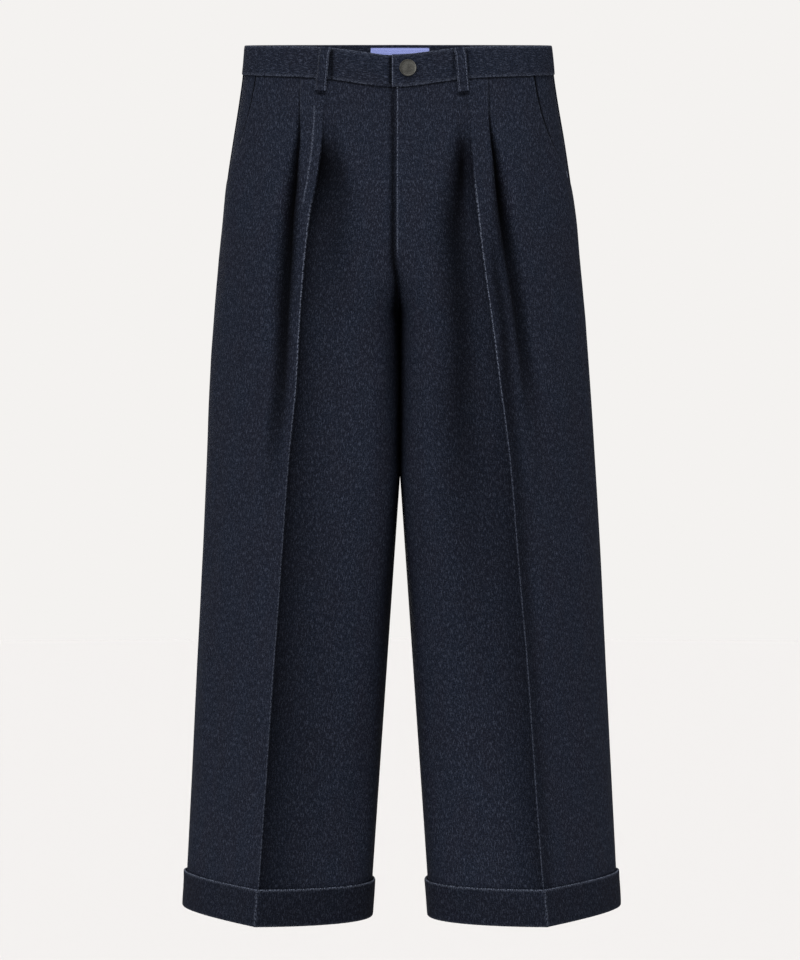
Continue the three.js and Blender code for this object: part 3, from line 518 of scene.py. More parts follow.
class Cloth:
    """Turns rows of points into meshes that are closed walls with a map of places in the cloth."""

    @staticmethod
    def wall(name: str, outer: Grid, inner: Grid, places: Grid, wear: Grid | None = None,
             fold: Grid | None = None) -> bpy.types.Object:
        """Closes an outer and an inner sheet into one wall.

        Args:
            name: The piece's name.
            outer: Outer points in millimetres, (m, n, 3).
            inner: Inner points in millimetres, (m, n, 3).
            places: Places across and down the cloth in millimetres, (m, n, 2).
            wear: How worn pale each point is, (m, n), or None.
            fold: How far each point's colour is darkened as painted shade, (m, n), or None.

        Returns:
            The new object.
        """
        rows, columns = outer.shape[:2]
        count = rows * columns
        points = np.concatenate([outer.reshape(-1, 3), inner.reshape(-1, 3)]) * MM
        index = np.arange(count).reshape(rows, columns)
        a, b = index[:-1, :-1].ravel(), index[:-1, 1:].ravel()
        c, d = index[1:, 1:].ravel(), index[1:, :-1].ravel()
        rim = np.concatenate([index[0, :], index[1:, -1], index[-1, -2::-1], index[-2:0:-1, 0]])
        ahead = np.roll(rim, -1)
        faces = np.concatenate([
            np.stack([a, d, c, b], 1),
            np.stack([a, b, c, d], 1) + count,
            np.stack([rim, ahead, ahead + count, rim + count], 1),
        ])
        corner = points[faces]
        fan = np.cross(corner[:, 1], corner[:, 2]) + np.cross(corner[:, 2], corner[:, 3])
        if (corner[:, 0] * fan).sum() < 0:
            faces = faces[:, ::-1]
        mesh = bpy.data.meshes.new(name)
        mesh.from_pydata(points.tolist(), [], faces.tolist())
        spots = np.concatenate([places.reshape(-1, 2)] * 2) * MM
        uv = mesh.uv_layers.new(name="cloth")
        uv.data.foreach_set("uv", spots[faces.ravel()].astype(np.float32).ravel())
        # Each point's wear, and its painted shade, which darkens the colour.
        for title, values in (("wear", wear), ("fold", fold)):
            outside = np.zeros(count) if values is None else values.ravel()
            attribute = mesh.attributes.new(title, "FLOAT", "POINT")
            both = np.concatenate([outside, np.zeros(count)])
            attribute.data.foreach_set("value", both.astype(np.float32))
        return Cloth.place(name, mesh)

    @staticmethod
    def ring(name: str, profiles: Grid, places: Grid, wear: Grid, closed: bool,
             fold: Grid | None = None) -> bpy.types.Object:
        """Closes a strip whose section is a closed loop of points at each station.

        Args:
            name: The piece's name.
            profiles: The loops in millimetres, (stations, points, 3).
            places: Places along and across the strip in millimetres, (stations, points, 2).
            wear: How worn pale each point is, (stations, points).
            closed: Whether the strip runs round to its start.
            fold: How far each point's colour is darkened as painted shade, (stations, points), or None.

        Returns:
            The new object.
        """
        stations, sides = profiles.shape[:2]
        points = profiles.reshape(-1, 3) * MM
        index = np.arange(stations * sides).reshape(stations, sides)
        here = index if closed else index[:-1]
        there = np.roll(index, -1, 0) if closed else index[1:]
        faces = np.stack([here, np.roll(here, -1, 1), np.roll(there, -1, 1), there], -1).reshape(-1, 4)
        corner = points[faces]
        fan = np.cross(corner[:, 1], corner[:, 2]) + np.cross(corner[:, 2], corner[:, 3])
        ends = [] if closed else [list(index[0, ::-1]), list(index[-1])]
        if (corner[:, 0] * fan).sum() < 0:
            faces = faces[:, ::-1]
            ends = [end[::-1] for end in ends]
        mesh = bpy.data.meshes.new(name)
        mesh.from_pydata(points.tolist(), [], faces.tolist() + ends)
        corners = np.concatenate([faces.ravel(), *[np.array(end) for end in ends]]).astype(int)
        uv = mesh.uv_layers.new(name="cloth")
        uv.data.foreach_set("uv", (places.reshape(-1, 2) * MM)[corners].astype(np.float32).ravel())
        # Each point's wear, and its painted shade, which darkens the colour.
        for title, values in (("wear", wear), ("fold", fold)):
            shown = np.zeros(stations * sides) if values is None else values.ravel()
            attribute = mesh.attributes.new(title, "FLOAT", "POINT")
            attribute.data.foreach_set("value", shown.astype(np.float32))
        return Cloth.place(name, mesh)

    @staticmethod
    def place(name: str, mesh: bpy.types.Mesh) -> bpy.types.Object:
        """Links a mesh as a smooth object with sharp rims."""
        piece = bpy.data.objects.new(name, mesh)
        bpy.context.scene.collection.objects.link(piece)
        smooth(piece)
        return piece


def smooth(piece: bpy.types.Object, degrees: float = 52) -> None:
    """Shades a piece smooth, apart from edges that turn by more than an angle."""
    bpy.ops.object.select_all(action="DESELECT")
    piece.select_set(True)
    bpy.context.view_layer.objects.active = piece
    bpy.ops.object.shade_smooth_by_angle(angle=math.radians(degrees))
    piece.select_set(False)


def linear(colour: str) -> tuple[float, float, float, float]:
    """Turns an sRGB hex colour such as #1d212b into Blender's linear one."""
    parts = [int(colour[i:i + 2], 16) / 255 for i in (1, 3, 5)]
    return (*[p / 12.92 if p <= 0.04045 else ((p + 0.055) / 1.055) ** 2.4 for p in parts], 1.0)


def node(tree: bpy.types.NodeTree, kind: str, settings: dict[str, Any] | None = None,
         inputs: dict[Any, Any] | None = None) -> bpy.types.Node:
    """Adds a node with its settings and links.

    Args:
        tree: The material's node tree.
        kind: The node's type.
        settings: Values of the node's own settings.
        inputs: For each input, by name or number, a value or an output socket to link.

    Returns:
        The new node.
    """
    made = tree.nodes.new(kind)
    for key, value in (settings or {}).items():
        setattr(made, key, value)
    for key, value in (inputs or {}).items():
        if isinstance(value, bpy.types.NodeSocket):
            tree.links.new(value, made.inputs[key])
        else:
            made.inputs[key].default_value = value
    return made


def new_material(name: str) -> tuple[bpy.types.Material, bpy.types.NodeTree]:
    """Makes an empty material.

    Args:
        name: The material's name.

    Returns:
        The material and its node tree.
    """
    material = bpy.data.materials.new(name)
    material.use_nodes = True
    material.node_tree.nodes.clear()
    return material, material.node_tree


def close_material(tree: bpy.types.NodeTree, inputs: dict[Any, Any]) -> None:
    """Ends a material with a Principled shader that has the given inputs."""
    shader = node(tree, "ShaderNodeBsdfPrincipled", None, inputs)
    node(tree, "ShaderNodeOutputMaterial", None, {"Surface": shader.outputs["BSDF"]})


@dataclass(frozen=True)
class SlubDenim:
    """Raw indigo denim, woven from uneven slub yarn: near-black navy, matt, with short pale flecks.

    The warp's thick places show as upright dashes a few millimetres long, and the weft's as shorter
    level ones. The yarn is 0.5 mm, finer than the render shows, so its grain is drawn at 1.2 mm and
    the dashes about twice as wide as they are. The dye leaves broad soft clouds. Shade is painted into the
    colour too: in the pleats, beside the creases, along the seams and under edges it goes towards
    near-black. Pressed edges are rubbed pale in a broken line.
    """

    name: str = "raw slub denim, indigo"
    deep: str = "#0e1118"
    mid: str = "#1c212e"
    pale: str = "#585f72"
    cast: str = "#17171f"
    # Near-black that the painted shade darkens the colour towards.
    painted_shade_colour: str = "#000001"
    rubbed: str = "#7b8396"
    grain_mm: tuple[float, float] = (1.2, 1.2 * 1.5)
    dash_mm: tuple[float, float] = (0.95, 6.2)
    weft_mm: tuple[float, float] = (3.2, 1.0)
    mottle_mm: tuple[float, float] = (34, 70)
    speckle_mm: tuple[float, float] = (1.1, 2.4)
    relief_mm: float = 0.5
    relief: float = 0.45
    slant: float = 9.0
    clouds: float = 0.4
    flecks: float = 0.33
    weft_flecks: float = 0.7
    worn: float = 0.8
    matt: tuple[float, float] = (0.82, 0.96)
    gloss: float = 0.035

    def _noise(self, tree: bpy.types.NodeTree, where: bpy.types.NodeSocket, size: tuple[float, float],
               detail: float, turn: float = 0.0) -> bpy.types.NodeSocket:
        """Noise whose patches are of a size in millimetres, across and along the cloth.

        Args:
            tree: The material's node tree.
            where: The cloth's map.
            size: The patches' width and length in millimetres.
            detail: How many finer steps the noise has.
            turn: How far the patches slant, in degrees.

        Returns:
            The noise's output.
        """
        scaled = node(tree, "ShaderNodeMapping", {"vector_type": "TEXTURE"},
                      {"Vector": where, "Scale": (size[0] * MM, size[1] * MM, 1),
                       "Rotation": (0, 0, math.radians(turn))})
        noise = node(tree, "ShaderNodeTexNoise", {"noise_dimensions": "2D"},
                     {"Vector": scaled.outputs[0], "Scale": 1.0, "Detail": detail, "Roughness": 0.55})
        return noise.outputs["Fac"]

    def _share(self, tree: bpy.types.NodeTree, value: bpy.types.NodeSocket, low: float, high: float,
               top: float = 1.0) -> bpy.types.NodeSocket:
        """Turns a range of a value into a share from 0 to top."""
        made = node(tree, "ShaderNodeMapRange", {"interpolation_type": "SMOOTHSTEP"},
                    {"Value": value, "From Min": low, "From Max": high, "To Min": 0.0, "To Max": top})
        return made.outputs[0]

    def _math(self, tree: bpy.types.NodeTree, kind: str, first: Any, second: Any) -> bpy.types.NodeSocket:
        """Works out one sum, product or greater value of two inputs."""
        return node(tree, "ShaderNodeMath", {"operation": kind}, {0: first, 1: second}).outputs[0]

    def _mix(self, tree: bpy.types.NodeTree, share: bpy.types.NodeSocket, first: Any, second: Any
             ) -> bpy.types.NodeSocket:
        """Mixes two colours by a share."""
        made = node(tree, "ShaderNodeMix", {"data_type": "RGBA"}, {0: share, 6: first, 7: second})
        return made.outputs[2]

    def build(self) -> bpy.types.Material:
        """Makes the material."""
        material, tree = new_material(self.name)
        cloth = node(tree, "ShaderNodeUVMap", {"uv_map": "cloth"}).outputs[0]
        grain = self._noise(tree, cloth, self.grain_mm, 2)
        dash = self._math(tree, "MAXIMUM", self._noise(tree, cloth, self.dash_mm, 1, self.slant),
                          self._noise(tree, cloth, self.dash_mm, 1, -self.slant))
        weft = self._noise(tree, cloth, self.weft_mm, 1)
        mottle = self._noise(tree, cloth, self.mottle_mm, 3)
        ground = self._mix(tree, self._share(tree, grain, 0.3, 0.7), linear(self.deep), linear(self.mid))
        cast = self._share(tree, mottle, 0.3, 0.7)
        clouded = self._math(tree, "MULTIPLY", cast, self.clouds)
        shaded = self._mix(tree, clouded, ground, linear(self.cast))
        slub = self._math(tree, "MAXIMUM", self._share(tree, dash, 0.6, 0.8, self.flecks),
                          self._share(tree, weft, 0.62, 0.8, self.flecks * self.weft_flecks))
        flecked = self._mix(tree, slub, shaded, linear(self.pale))
        wear = node(tree, "ShaderNodeAttribute", {"attribute_name": "wear"}).outputs["Fac"]
        speckle = self._share(tree, self._noise(tree, cloth, self.speckle_mm, 1), 0.4, 0.6)
        rubbed = self._math(tree, "MULTIPLY", self._math(tree, "MULTIPLY", wear, speckle), self.worn)
        # Painted shade: each point's share darkens the colour towards near-black.
        fold = node(tree, "ShaderNodeAttribute", {"attribute_name": "fold"}).outputs["Fac"]
        with_painted_shade = self._mix(tree, fold, flecked, linear(self.painted_shade_colour))
        colour = self._mix(tree, rubbed, with_painted_shade, linear(self.rubbed))
        height = self._math(tree, "ADD", grain, self._math(tree, "MULTIPLY", dash, 0.8))
        relief = node(tree, "ShaderNodeBump", None, {"Strength": self.relief, "Height": height,
                                                     "Distance": self.relief_mm * MM}).outputs[0]
        rough = node(tree, "ShaderNodeMapRange", None, {"Value": grain, "From Min": 0.3, "From Max": 0.7,
                                                        "To Min": self.matt[0], "To Max": self.matt[1]})
        close_material(tree, {"Base Color": colour, "Roughness": rough.outputs[0], "Normal": relief,
                              "Specular IOR Level": self.gloss})
        return material


# A wave texture of scale 1 repeats every 0.31 m, so with this share its bands come out twice as wide.
WAVE_SCALE = 1 / 6.3


@dataclass(frozen=True)
class LabelTwill:
    """Woven label in lilac polyester yarn: fine cross ribs and a slight silky gloss.

    The real ribs are about 0.5 mm, too fine to show, so they are drawn at 2.2 mm, twice rib_mm. Their
    valleys are painted in the darker lilac, as shade.
    """

    name: str = "woven label, lilac polyester"
    light: str = "#949fde"
    dark: str = "#8590d2"
    rib_mm: float = 1.1

    def build(self) -> bpy.types.Material:
        """Makes the material."""
        material, tree = new_material(self.name)
        cloth = node(tree, "ShaderNodeUVMap", {"uv_map": "cloth"}).outputs[0]
        ribs = node(tree, "ShaderNodeTexWave", {"wave_type": "BANDS", "bands_direction": "Y"},
                    {"Vector": cloth, "Scale": WAVE_SCALE / (self.rib_mm * MM), "Distortion": 0.6,
                     "Detail Scale": 2.0}).outputs["Fac"]
        # Painted shade: the ribs' valleys take the darker lilac.
        colour = node(tree, "ShaderNodeMix", {"data_type": "RGBA"},
                      {0: ribs, 6: linear(self.dark), 7: linear(self.light)}).outputs[2]
        relief = node(tree, "ShaderNodeBump", None,
                      {"Strength": 0.4, "Distance": 0.0003, "Height": ribs}).outputs[0]
        close_material(tree, {"Base Color": colour, "Roughness": 0.62, "Normal": relief, "Sheen Weight": 0.2})
        return material


@dataclass(frozen=True)
class GunmetalPlate:
    """Pressed brass button with a brushed black-nickel plate: satin, clouded, with a fine uneven grain.

    Its grain is 0.2 mm in the real one, and is drawn at 1.1 mm so that it shows. The clouds are 5.6 mm.
    """

    name: str = "black nickel plate, brushed"
    light: str = "#4f4e4a"
    dark: str = "#2b2b29"
    grains_a_metre: float = 900.0
    clouds_a_metre: float = 180.0
    satin: tuple[float, float] = (0.24, 0.42)

    def build(self) -> bpy.types.Material:
        """Makes the material."""
        material, tree = new_material(self.name)
        place = node(tree, "ShaderNodeTexCoord").outputs["Object"]
        fine = node(tree, "ShaderNodeTexNoise", None,
                    {"Vector": place, "Scale": self.grains_a_metre, "Detail": 3.0,
                     "Roughness": 0.6}).outputs["Fac"]
        broad = node(tree, "ShaderNodeTexNoise", None,
                     {"Vector": place, "Scale": self.clouds_a_metre, "Detail": 2.0}).outputs["Fac"]
        colour = node(tree, "ShaderNodeMix", {"data_type": "RGBA"},
                      {0: broad, 6: linear(self.dark), 7: linear(self.light)}).outputs[2]
        rough = node(tree, "ShaderNodeMapRange", None,
                     {"Value": fine, "To Min": self.satin[0], "To Max": self.satin[1]})
        relief = node(tree, "ShaderNodeBump", None,
                      {"Strength": 0.12, "Distance": 0.0001, "Height": fine}).outputs[0]
        close_material(tree, {"Base Color": colour, "Metallic": 0.9, "Roughness": rough.outputs[0],
                              "Normal": relief})
        return material


@dataclass(frozen=True)
class SpunThread:
    """Spun polyester sewing thread: matt, with the twist of its plies as fine slant ridges.

    The plies of a 0.6 mm thread turn about every 0.5 mm, and are drawn at about twice that to show. The
    grooves between them are painted darker, as shade.
    """

    name: str
    colour: str
    ply_mm: float = 0.5
    groove_shade: float = 0.6

    def build(self) -> bpy.types.Material:
        """Makes the material."""
        material, tree = new_material(self.name)
        place = node(tree, "ShaderNodeTexCoord").outputs["Object"]
        twist = node(tree, "ShaderNodeTexWave", {"wave_type": "BANDS", "bands_direction": "DIAGONAL"},
                     {"Vector": place, "Scale": WAVE_SCALE / (self.ply_mm * MM),
                      "Distortion": 1.0}).outputs["Fac"]
        # Painted shade: the grooves between the plies take a darker copy of the colour.
        low = tuple(self.groove_shade * part for part in linear(self.colour)[:3]) + (1.0,)
        colour = node(tree, "ShaderNodeMix", {"data_type": "RGBA"},
                      {0: twist, 6: low, 7: linear(self.colour)}).outputs[2]
        relief = node(tree, "ShaderNodeBump", None,
                      {"Strength": 0.3, "Distance": 0.0002, "Height": twist}).outputs[0]
        close_material(tree, {"Base Color": colour, "Roughness": 0.8, "Normal": relief, "Sheen Weight": 0.1})
        return material


class Finishes:
    """All the materials of the garment."""

    def __init__(self) -> None:
        """Makes each material once."""
        self.denim = SlubDenim().build()
        self.label = LabelTwill().build()
        self.gunmetal = GunmetalPlate().build()
        self.dark_thread = SpunThread("spun thread, navy", "#232939").build()
        self.pale_thread = SpunThread("spun thread, slate blue", "#525b70").build()


class Stage:
    """Pale floor, soft light and the camera, which stands as the photograph's did."""

    @dataclass(frozen=True)
    class Sun:
        """A soft far light: where it comes from, its strength and its spread in degrees."""

        name: str
        direction: tuple[float, float, float]
        strength: float
        spread: float

    suns: tuple[Sun, ...] = (
        Sun("key", (-0.5, -1.0, 0.45), 2.1, 44),
        Sun("fill", (0.9, -0.8, 0.15), 0.9, 80),
        Sun("overhead", (0.05, -0.1, 1.0), 2.0, 60),
        Sun("rear", (-0.15, 1.0, 0.4), 1.6, 50),
    )
    backdrop: str = "#f4f2f0"
    room_light: float = 0.3
    floor_albedo: str = "#d2d0cf"
    floor_z: float = -5.0
    floor_radius: float = 60.0
    camera_place: tuple[float, float, float] = (0.0, -2.687, -0.510)
    half_long_side: float = 0.2171
    sensor_mm: float = 36.0
    sight: float = 200.0

    def build(self) -> None:
        """Makes the camera, lights, world and floor."""
        self._camera()
        for sun in self.suns:
            self._sun(sun)
        self._world()
        self._floor()

    def _camera(self) -> None:
        """Stands the camera level, 2.6 m in front of the fly, at half the garment's height."""
        data = bpy.data.cameras.new("camera")
        camera = bpy.data.objects.new("camera", data)
        bpy.context.scene.collection.objects.link(camera)
        camera.location = self.camera_place
        camera.rotation_euler = (math.pi / 2, 0, 0)
        data.sensor_width = self.sensor_mm
        data.lens = self.sensor_mm / 2 / self.half_long_side
        data.clip_end = self.sight
        bpy.context.scene.camera = camera

    def _sun(self, sun: "Stage.Sun") -> None:
        """Adds one soft far light."""
        data = bpy.data.lights.new(sun.name, "SUN")
        data.energy = sun.strength
        data.angle = math.radians(sun.spread)
        light = bpy.data.objects.new(sun.name, data)
        bpy.context.scene.collection.objects.link(light)
        light.rotation_euler = Vector(sun.direction).to_track_quat("Z", "Y").to_euler()

    def _world(self) -> None:
        """Gives the room one pale colour all round."""
        world = bpy.data.worlds.new("pale room")
        bpy.context.scene.world = world
        world.use_nodes = True
        tree = world.node_tree
        background = tree.nodes["Background"]
        background.inputs["Color"].default_value = linear(self.backdrop)
        seen = node(tree, "ShaderNodeLightPath").outputs["Is Camera Ray"]
        strength = node(tree, "ShaderNodeMapRange", None, {"Value": seen, "To Min": self.room_light})
        tree.links.new(strength.outputs[0], background.inputs["Strength"])
        bpy.context.scene.view_settings.view_transform = "Standard"
        bpy.context.scene.view_settings.look = "None"

    def _floor(self) -> None:
        """Lays a plain round floor of matt painted board, well below the hems."""
        bpy.ops.object.select_all(action="DESELECT")
        bpy.ops.mesh.primitive_circle_add(vertices=128, radius=self.floor_radius, fill_type="NGON",
                                          location=(0, 0, self.floor_z))
        floor = bpy.context.active_object
        floor.name = "floor"
        floor.data.transform(floor.matrix_world)
        floor.matrix_world = Matrix.Identity(4)
        material, tree = new_material("matt painted board, off-white")
        close_material(tree, {"Base Color": linear(self.floor_albedo), "Roughness": 1.0,
                              "Specular IOR Level": 0.0})
        floor.data.materials.append(material)
        floor.select_set(False)


def dress(piece: bpy.types.Object, material: bpy.types.Material, slot: str, *nodes: str) -> bpy.types.Object:
    """Gives a piece its material and its body, and hides the nodes that it stands for.

    Args:
        piece: The piece.
        material: Its material.
        slot: Not used.
        *nodes: The nodes that it replaces.

    Returns:
        The same piece.
    """
    piece.data.materials.clear()
    piece.data.materials.append(material)
    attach(piece, BODY)
    if nodes:
        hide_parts(*nodes)
    log.info("%s: %d faces", piece.name, len(piece.data.polygons))
    return piece


# Rows just under the waist seam, as drops from it, so that its shade is drawn fine.
SEAM_ROWS = (0.0, -0.8, -1.6, -2.8)
# Cloth is eased round the fork at this level, and this far up and down from it.
EASE_LEVEL = -318
EASE_REACH = 62
# Within this much of a sewn edge the cloth lies still, and beside the hem and the waist too.
STILL_EDGE = 26


def calm_share(level: Grid, from_edge: Grid, to_edge: Grid) -> Grid:
    """How freely a panel's cloth drifts: 0 at its sewn edges and 1 away from them.

    Args:
        level: Levels, (m, 1).
        from_edge: Distances from one edge, (m, n).
        to_edge: Distances to the other edge, (m, n).

    Returns:
        The shares, (m, n).
    """
    calm = smoothstep(from_edge, 0, STILL_EDGE) * smoothstep(to_edge, 0, STILL_EDGE)
    return calm * smoothstep(-level, 20, 60) * smoothstep(level - S.hem_level, 30, 110)


def seam_shade(level: Grid) -> Grid:
    """Painted shadow: the dark line where a panel runs up under the waistband's edge."""
    return bump(level - S.seam_level + 0.7, 1.1)


def panel_levels(top_step: float, leg_step: float, fork_steps: int) -> Grid:
    """Levels of a panel's rows.

    Args:
        top_step: The step above the crotch curve, in millimetres.
        leg_step: The step down the leg.
        fork_steps: How many rows the crotch curve has.

    Returns:
        The levels from the waist seam down.
    """
    end = S.hem_level + S.band_cloth + S.gap
    seam = S.seam_level + np.array([S.seam_lap, *SEAM_ROWS])
    steps = round((seam[-1] - S.fork_start) / top_step)
    top = np.concatenate([seam, np.linspace(seam[-1], S.fork_start, steps + 1)[1:]])
    angles = np.linspace(0, math.pi / 2, fork_steps + 1)[1:]
    fork = S.fork_start - (S.fork_start - S.crotch_level) * np.sin(angles)
    leg = np.linspace(S.crotch_level, end, round((S.crotch_level - end) / leg_step) + 1)[1:]
    return np.concatenate([top, fork, leg])


def settle(points: Grid, levels: Grid, from_seam: Grid, spread: float = 15.0) -> Grid:
    """Eases the cloth round the fork, away from the inner leg seam.

    Args:
        points: The cloth's points in millimetres, (m, n, 3).
        levels: The rows' levels, (m,).
        from_seam: Distances from the centre or inner leg seam, (m, n).
        spread: How far up and down the cloth is eased.

    Returns:
        The eased points.
    """
    pitch = np.abs(np.gradient(levels))
    weights = bump(levels[:, None] - levels[None, :], spread) * pitch[None, :]
    weights = weights / weights.sum(1, keepdims=True)
    eased = np.einsum("ij,jkl->ikl", weights, points)
    near = np.exp(-(((levels - EASE_LEVEL) / EASE_REACH) ** 4))
    mix = near[:, None] * smoothstep(from_seam, 3, 30) * (1 - smoothstep(from_seam, 95, 150))
    return points + (eased - points) * mix[..., None]


def mouth_inset(side: Side, levels: Grid) -> Grid:
    """Distance of the pocket mouth from the side seam, 0 below its end."""
    return np.where(levels <= S.mouth_end, 0.0, POCKET_MOUTH.read(side.word, levels))


@dataclass(frozen=True)
class FrontTouch:
    """What differs from one front to the other, in millimetres from the crease or down from the waist.

    The pressed line starts at press_start. The inner pleat is sewn down at tuck, and the front belt loop
    hangs at loop. The seed starts the cloth's drift.
    """

    press_start: float
    tuck: float
    loop: float
    seed: int


FRONT_TOUCHES = {Side.RIGHT: FrontTouch(165, -12.5, 3.5, 11), Side.LEFT: FrontTouch(130, -13.0, -7, 12)}


@dataclass
class FrontPanel:
    """Front panel: two pleats, a pressed crease, the fly's edge and the slant pocket's mouth."""

    side: Side
    top_step: float = 3.0
    leg_step: float = 5.4
    fork_steps: int = 24
    fine_reach: float = 58
    inner_columns: int = 26
    outer_columns: int = 30
    steep_wall: float = 0.5
    steep_power: float = 2.6
    soft_wall: float = 1.15
    shade_power: float = 3.2
    trough_depth: float = 4.5
    pinch_height: float = 0.7
    pinch_width: float = 1.3
    press_run: float = 45
    crease_wear: float = 0.85
    upper_line: float = 10.6
    loop_end: float = -37.5
    fly_rise: float = 1.1
    fly_drop: float = 0.7
    fly_wear: float = 0.52
    mouth_wear: float = 0.12
    # How dark the painted shadow is under the waistband's edge and under the front loop's end.
    seam_and_loop_shadow: float = 0.85
    flat_size: tuple[float, float] = (0.33, 1.03)

    def columns(self, levels: Grid) -> Grid:
        """Distances from the crease of each row's points, closest together at the folds.

        Args:
            levels: The rows' levels, (m,).

        Returns:
            The distances in millimetres, (m, n).
        """
        lengths = FORM.lengths(self.side, levels)
        inner_end = -lengths[:, 0]
        outer_end = lengths[:, 1] - mouth_inset(self.side, levels)
        near = np.concatenate([np.arange(-self.fine_reach, -3, 1.15), np.arange(-3, 3.01, 0.5),
                               np.arange(4, self.fine_reach + 0.5, 1.0)])
        share_in = 1 - np.linspace(0, 1, self.inner_columns)[:-1] ** 1.3
        share_out = np.linspace(0, 1, self.outer_columns)[1:]
        inner = inner_end[:, None] * share_in + near[0] * (1 - share_in)
        outer = near[-1] * (1 - share_out) + outer_end[:, None] * share_out
        return np.concatenate([inner, np.broadcast_to(near, (len(levels), len(near))), outer], 1)

    def pleats(self, level: Grid, distance: Grid) -> Grid:
        """Depth of the two pleats and of the crease's flank, in millimetres.

        Args:
            level: Levels, (m, 1).
            distance: Distances from the crease, (m, n).

        Returns:
            The depths, (m, n).
        """
        across = (distance - OUTER_PLEAT.side("offset", self.side, level)) / OUTER_PLEAT.read("half", level)
        wall = np.where(across < 0, self.steep_wall, self.soft_wall)
        power = np.where(across < 0, self.steep_power, 2)
        outer = OUTER_PLEAT.read("depth", level) * np.exp(-np.abs(across / wall) ** power)
        inward = np.maximum(0, -distance) / INNER_PLEAT.read("width", level)
        bowl = (inward * np.exp(1 - inward)) ** INNER_PLEAT.read("crisp", level)
        tail = 1 - smoothstep(inward, 2.5, 5)
        return outer + INNER_PLEAT.side("depth", self.side, level) * bowl * tail

    def shade(self, level: Grid, distance: Grid, from_middle: Grid) -> tuple[Grid, Grid]:
        """Painted shade: how dark the cloth's colour is made where shadow falls, in and beside the folds and
        edges.

        Args:
            level: Levels, (m, 1).
            distance: Distances from the crease, (m, n).
            from_middle: Distances from the centre edge as seen from the front, (m, n).

        Returns:
            The painted shade's share from 0 to 1 and the trough's depth in millimetres, both (m, n).
        """
        side = self.side
        inward = np.maximum(0, -distance)
        reach = FOLD_SHADE.side("reach", side, level)
        inner = FOLD_SHADE.side("inner", side, level) * smoothstep(-distance, -0.2, 1.4)
        inner = inner * np.exp(-((inward / reach) ** FOLD_SHADE.read("hold", level)))
        over = distance + FOLD_SHADE.side("offset", side, level)
        trough = FOLD_SHADE.side("trough", side, level) * bump(over, FOLD_SHADE.read("spread", level))
        trough = trough * smoothstep(-distance, 0, 6)
        offset = OUTER_PLEAT.side("offset", side, level)
        beside = np.where(distance < offset, FOLD_SHADE.read("pleatIn", level),
                          FOLD_SHADE.read("pleatOut", level))
        pleat = np.exp(-np.abs((distance - offset) / beside) ** self.shade_power)
        pleat = pleat * FOLD_SHADE.side("pleat", side, level)
        dark = 1 - (1 - inner) * (1 - trough) * (1 - pleat)
        if side is Side.LEFT:
            upper = smoothstep(level, -430, -340)
            flank = FOLD_SHADE.read("flankLeft", level) * bump(distance - 6 - 7 * upper, 12 - 4 * upper)
            dark = 1 - (1 - dark) * (1 - flank * smoothstep(distance, 0.2, 2))
        middle = EDGE_SHADE.read("middle", level) * (side is Side.RIGHT)
        edge = bump(from_middle - middle, EDGE_SHADE.side("reach", side, level))
        # Painted shadow under the waistband's edge and under the front loop's end.
        seam = self.seam_and_loop_shadow * seam_shade(level)
        under_loop = bump(distance - FRONT_TOUCHES[side].loop, 7) * bump(level - self.loop_end, 1.8)
        dark = 1 - (1 - dark) * (1 - EDGE_SHADE.read(side.word, level) * edge) * (1 - seam)
        dark = 1 - (1 - dark) * (1 - self.seam_and_loop_shadow * under_loop)
        return dark, self.trough_depth * trough

    def lines(self, level: Grid, distance: Grid, from_edge: Grid) -> tuple[Grid, Grid]:
        """Small relief and worn lines of the panel.

        Args:
            level: Levels, (m, 1).
            distance: Distances from the crease, (m, n).
            from_edge: Distances from the centre front edge, (m, n).

        Returns:
            The heights in millimetres and the wear from 0 to 1, both (m, n).
        """
        right = self.side is Side.RIGHT
        touch = FRONT_TOUCHES[self.side]
        pressed = smoothstep(-level, touch.press_start, touch.press_start + self.press_run)
        height = self.pinch_height * bump(distance, self.pinch_width) * pressed
        lower = 1 - 0.65 * smoothstep(-level, 330, 520)
        wear = self.crease_wear * bump(distance, 0.55) * pressed * lower
        if right:
            reach = smoothstep(-level, 44, 60) * (1 - smoothstep(-level, 165, 195))
            line = bump(distance - self.upper_line, 0.6) * reach
            wear = np.maximum(wear, line * 0.6)
            height = height + 0.35 * line
            faint = smoothstep(-level, 22, 34) * (1 - smoothstep(-level, 66, 86))
            height = height - 0.5 * bump(distance - 59 + (level + 40) * -0.05, 1.6) * faint
        seam = smoothstep(-level, 16, 24) * (1 - smoothstep(-level, 60, 80))
        offset = OUTER_PLEAT.side("offset", self.side, level)
        wear = np.maximum(wear, 0.1 * bump(distance - offset + 1.6, 0.8) * seam)
        inner = smoothstep(-level, 24, 40) * (1 - smoothstep(-level, 86, 110))
        height = height - 0.55 * bump(distance - touch.tuck + (level + 60) * 0.04, 0.9) * inner
        on_fly = 1 - smoothstep(-level, -S.fly_end - 4, -S.fly_end + 5)
        if right:
            height = height - self.fly_drop * (1 - smoothstep(from_edge, 0.5, 8)) * on_fly
        else:
            height = height + self.fly_rise * (1 - smoothstep(from_edge, 3, 42)) * on_fly
            height = height - 0.6 * bump(from_edge, 0.5) * on_fly
            wear = np.maximum(wear, self.fly_wear * bump(from_edge - 0.9, 0.6) * on_fly)
        return height, wear

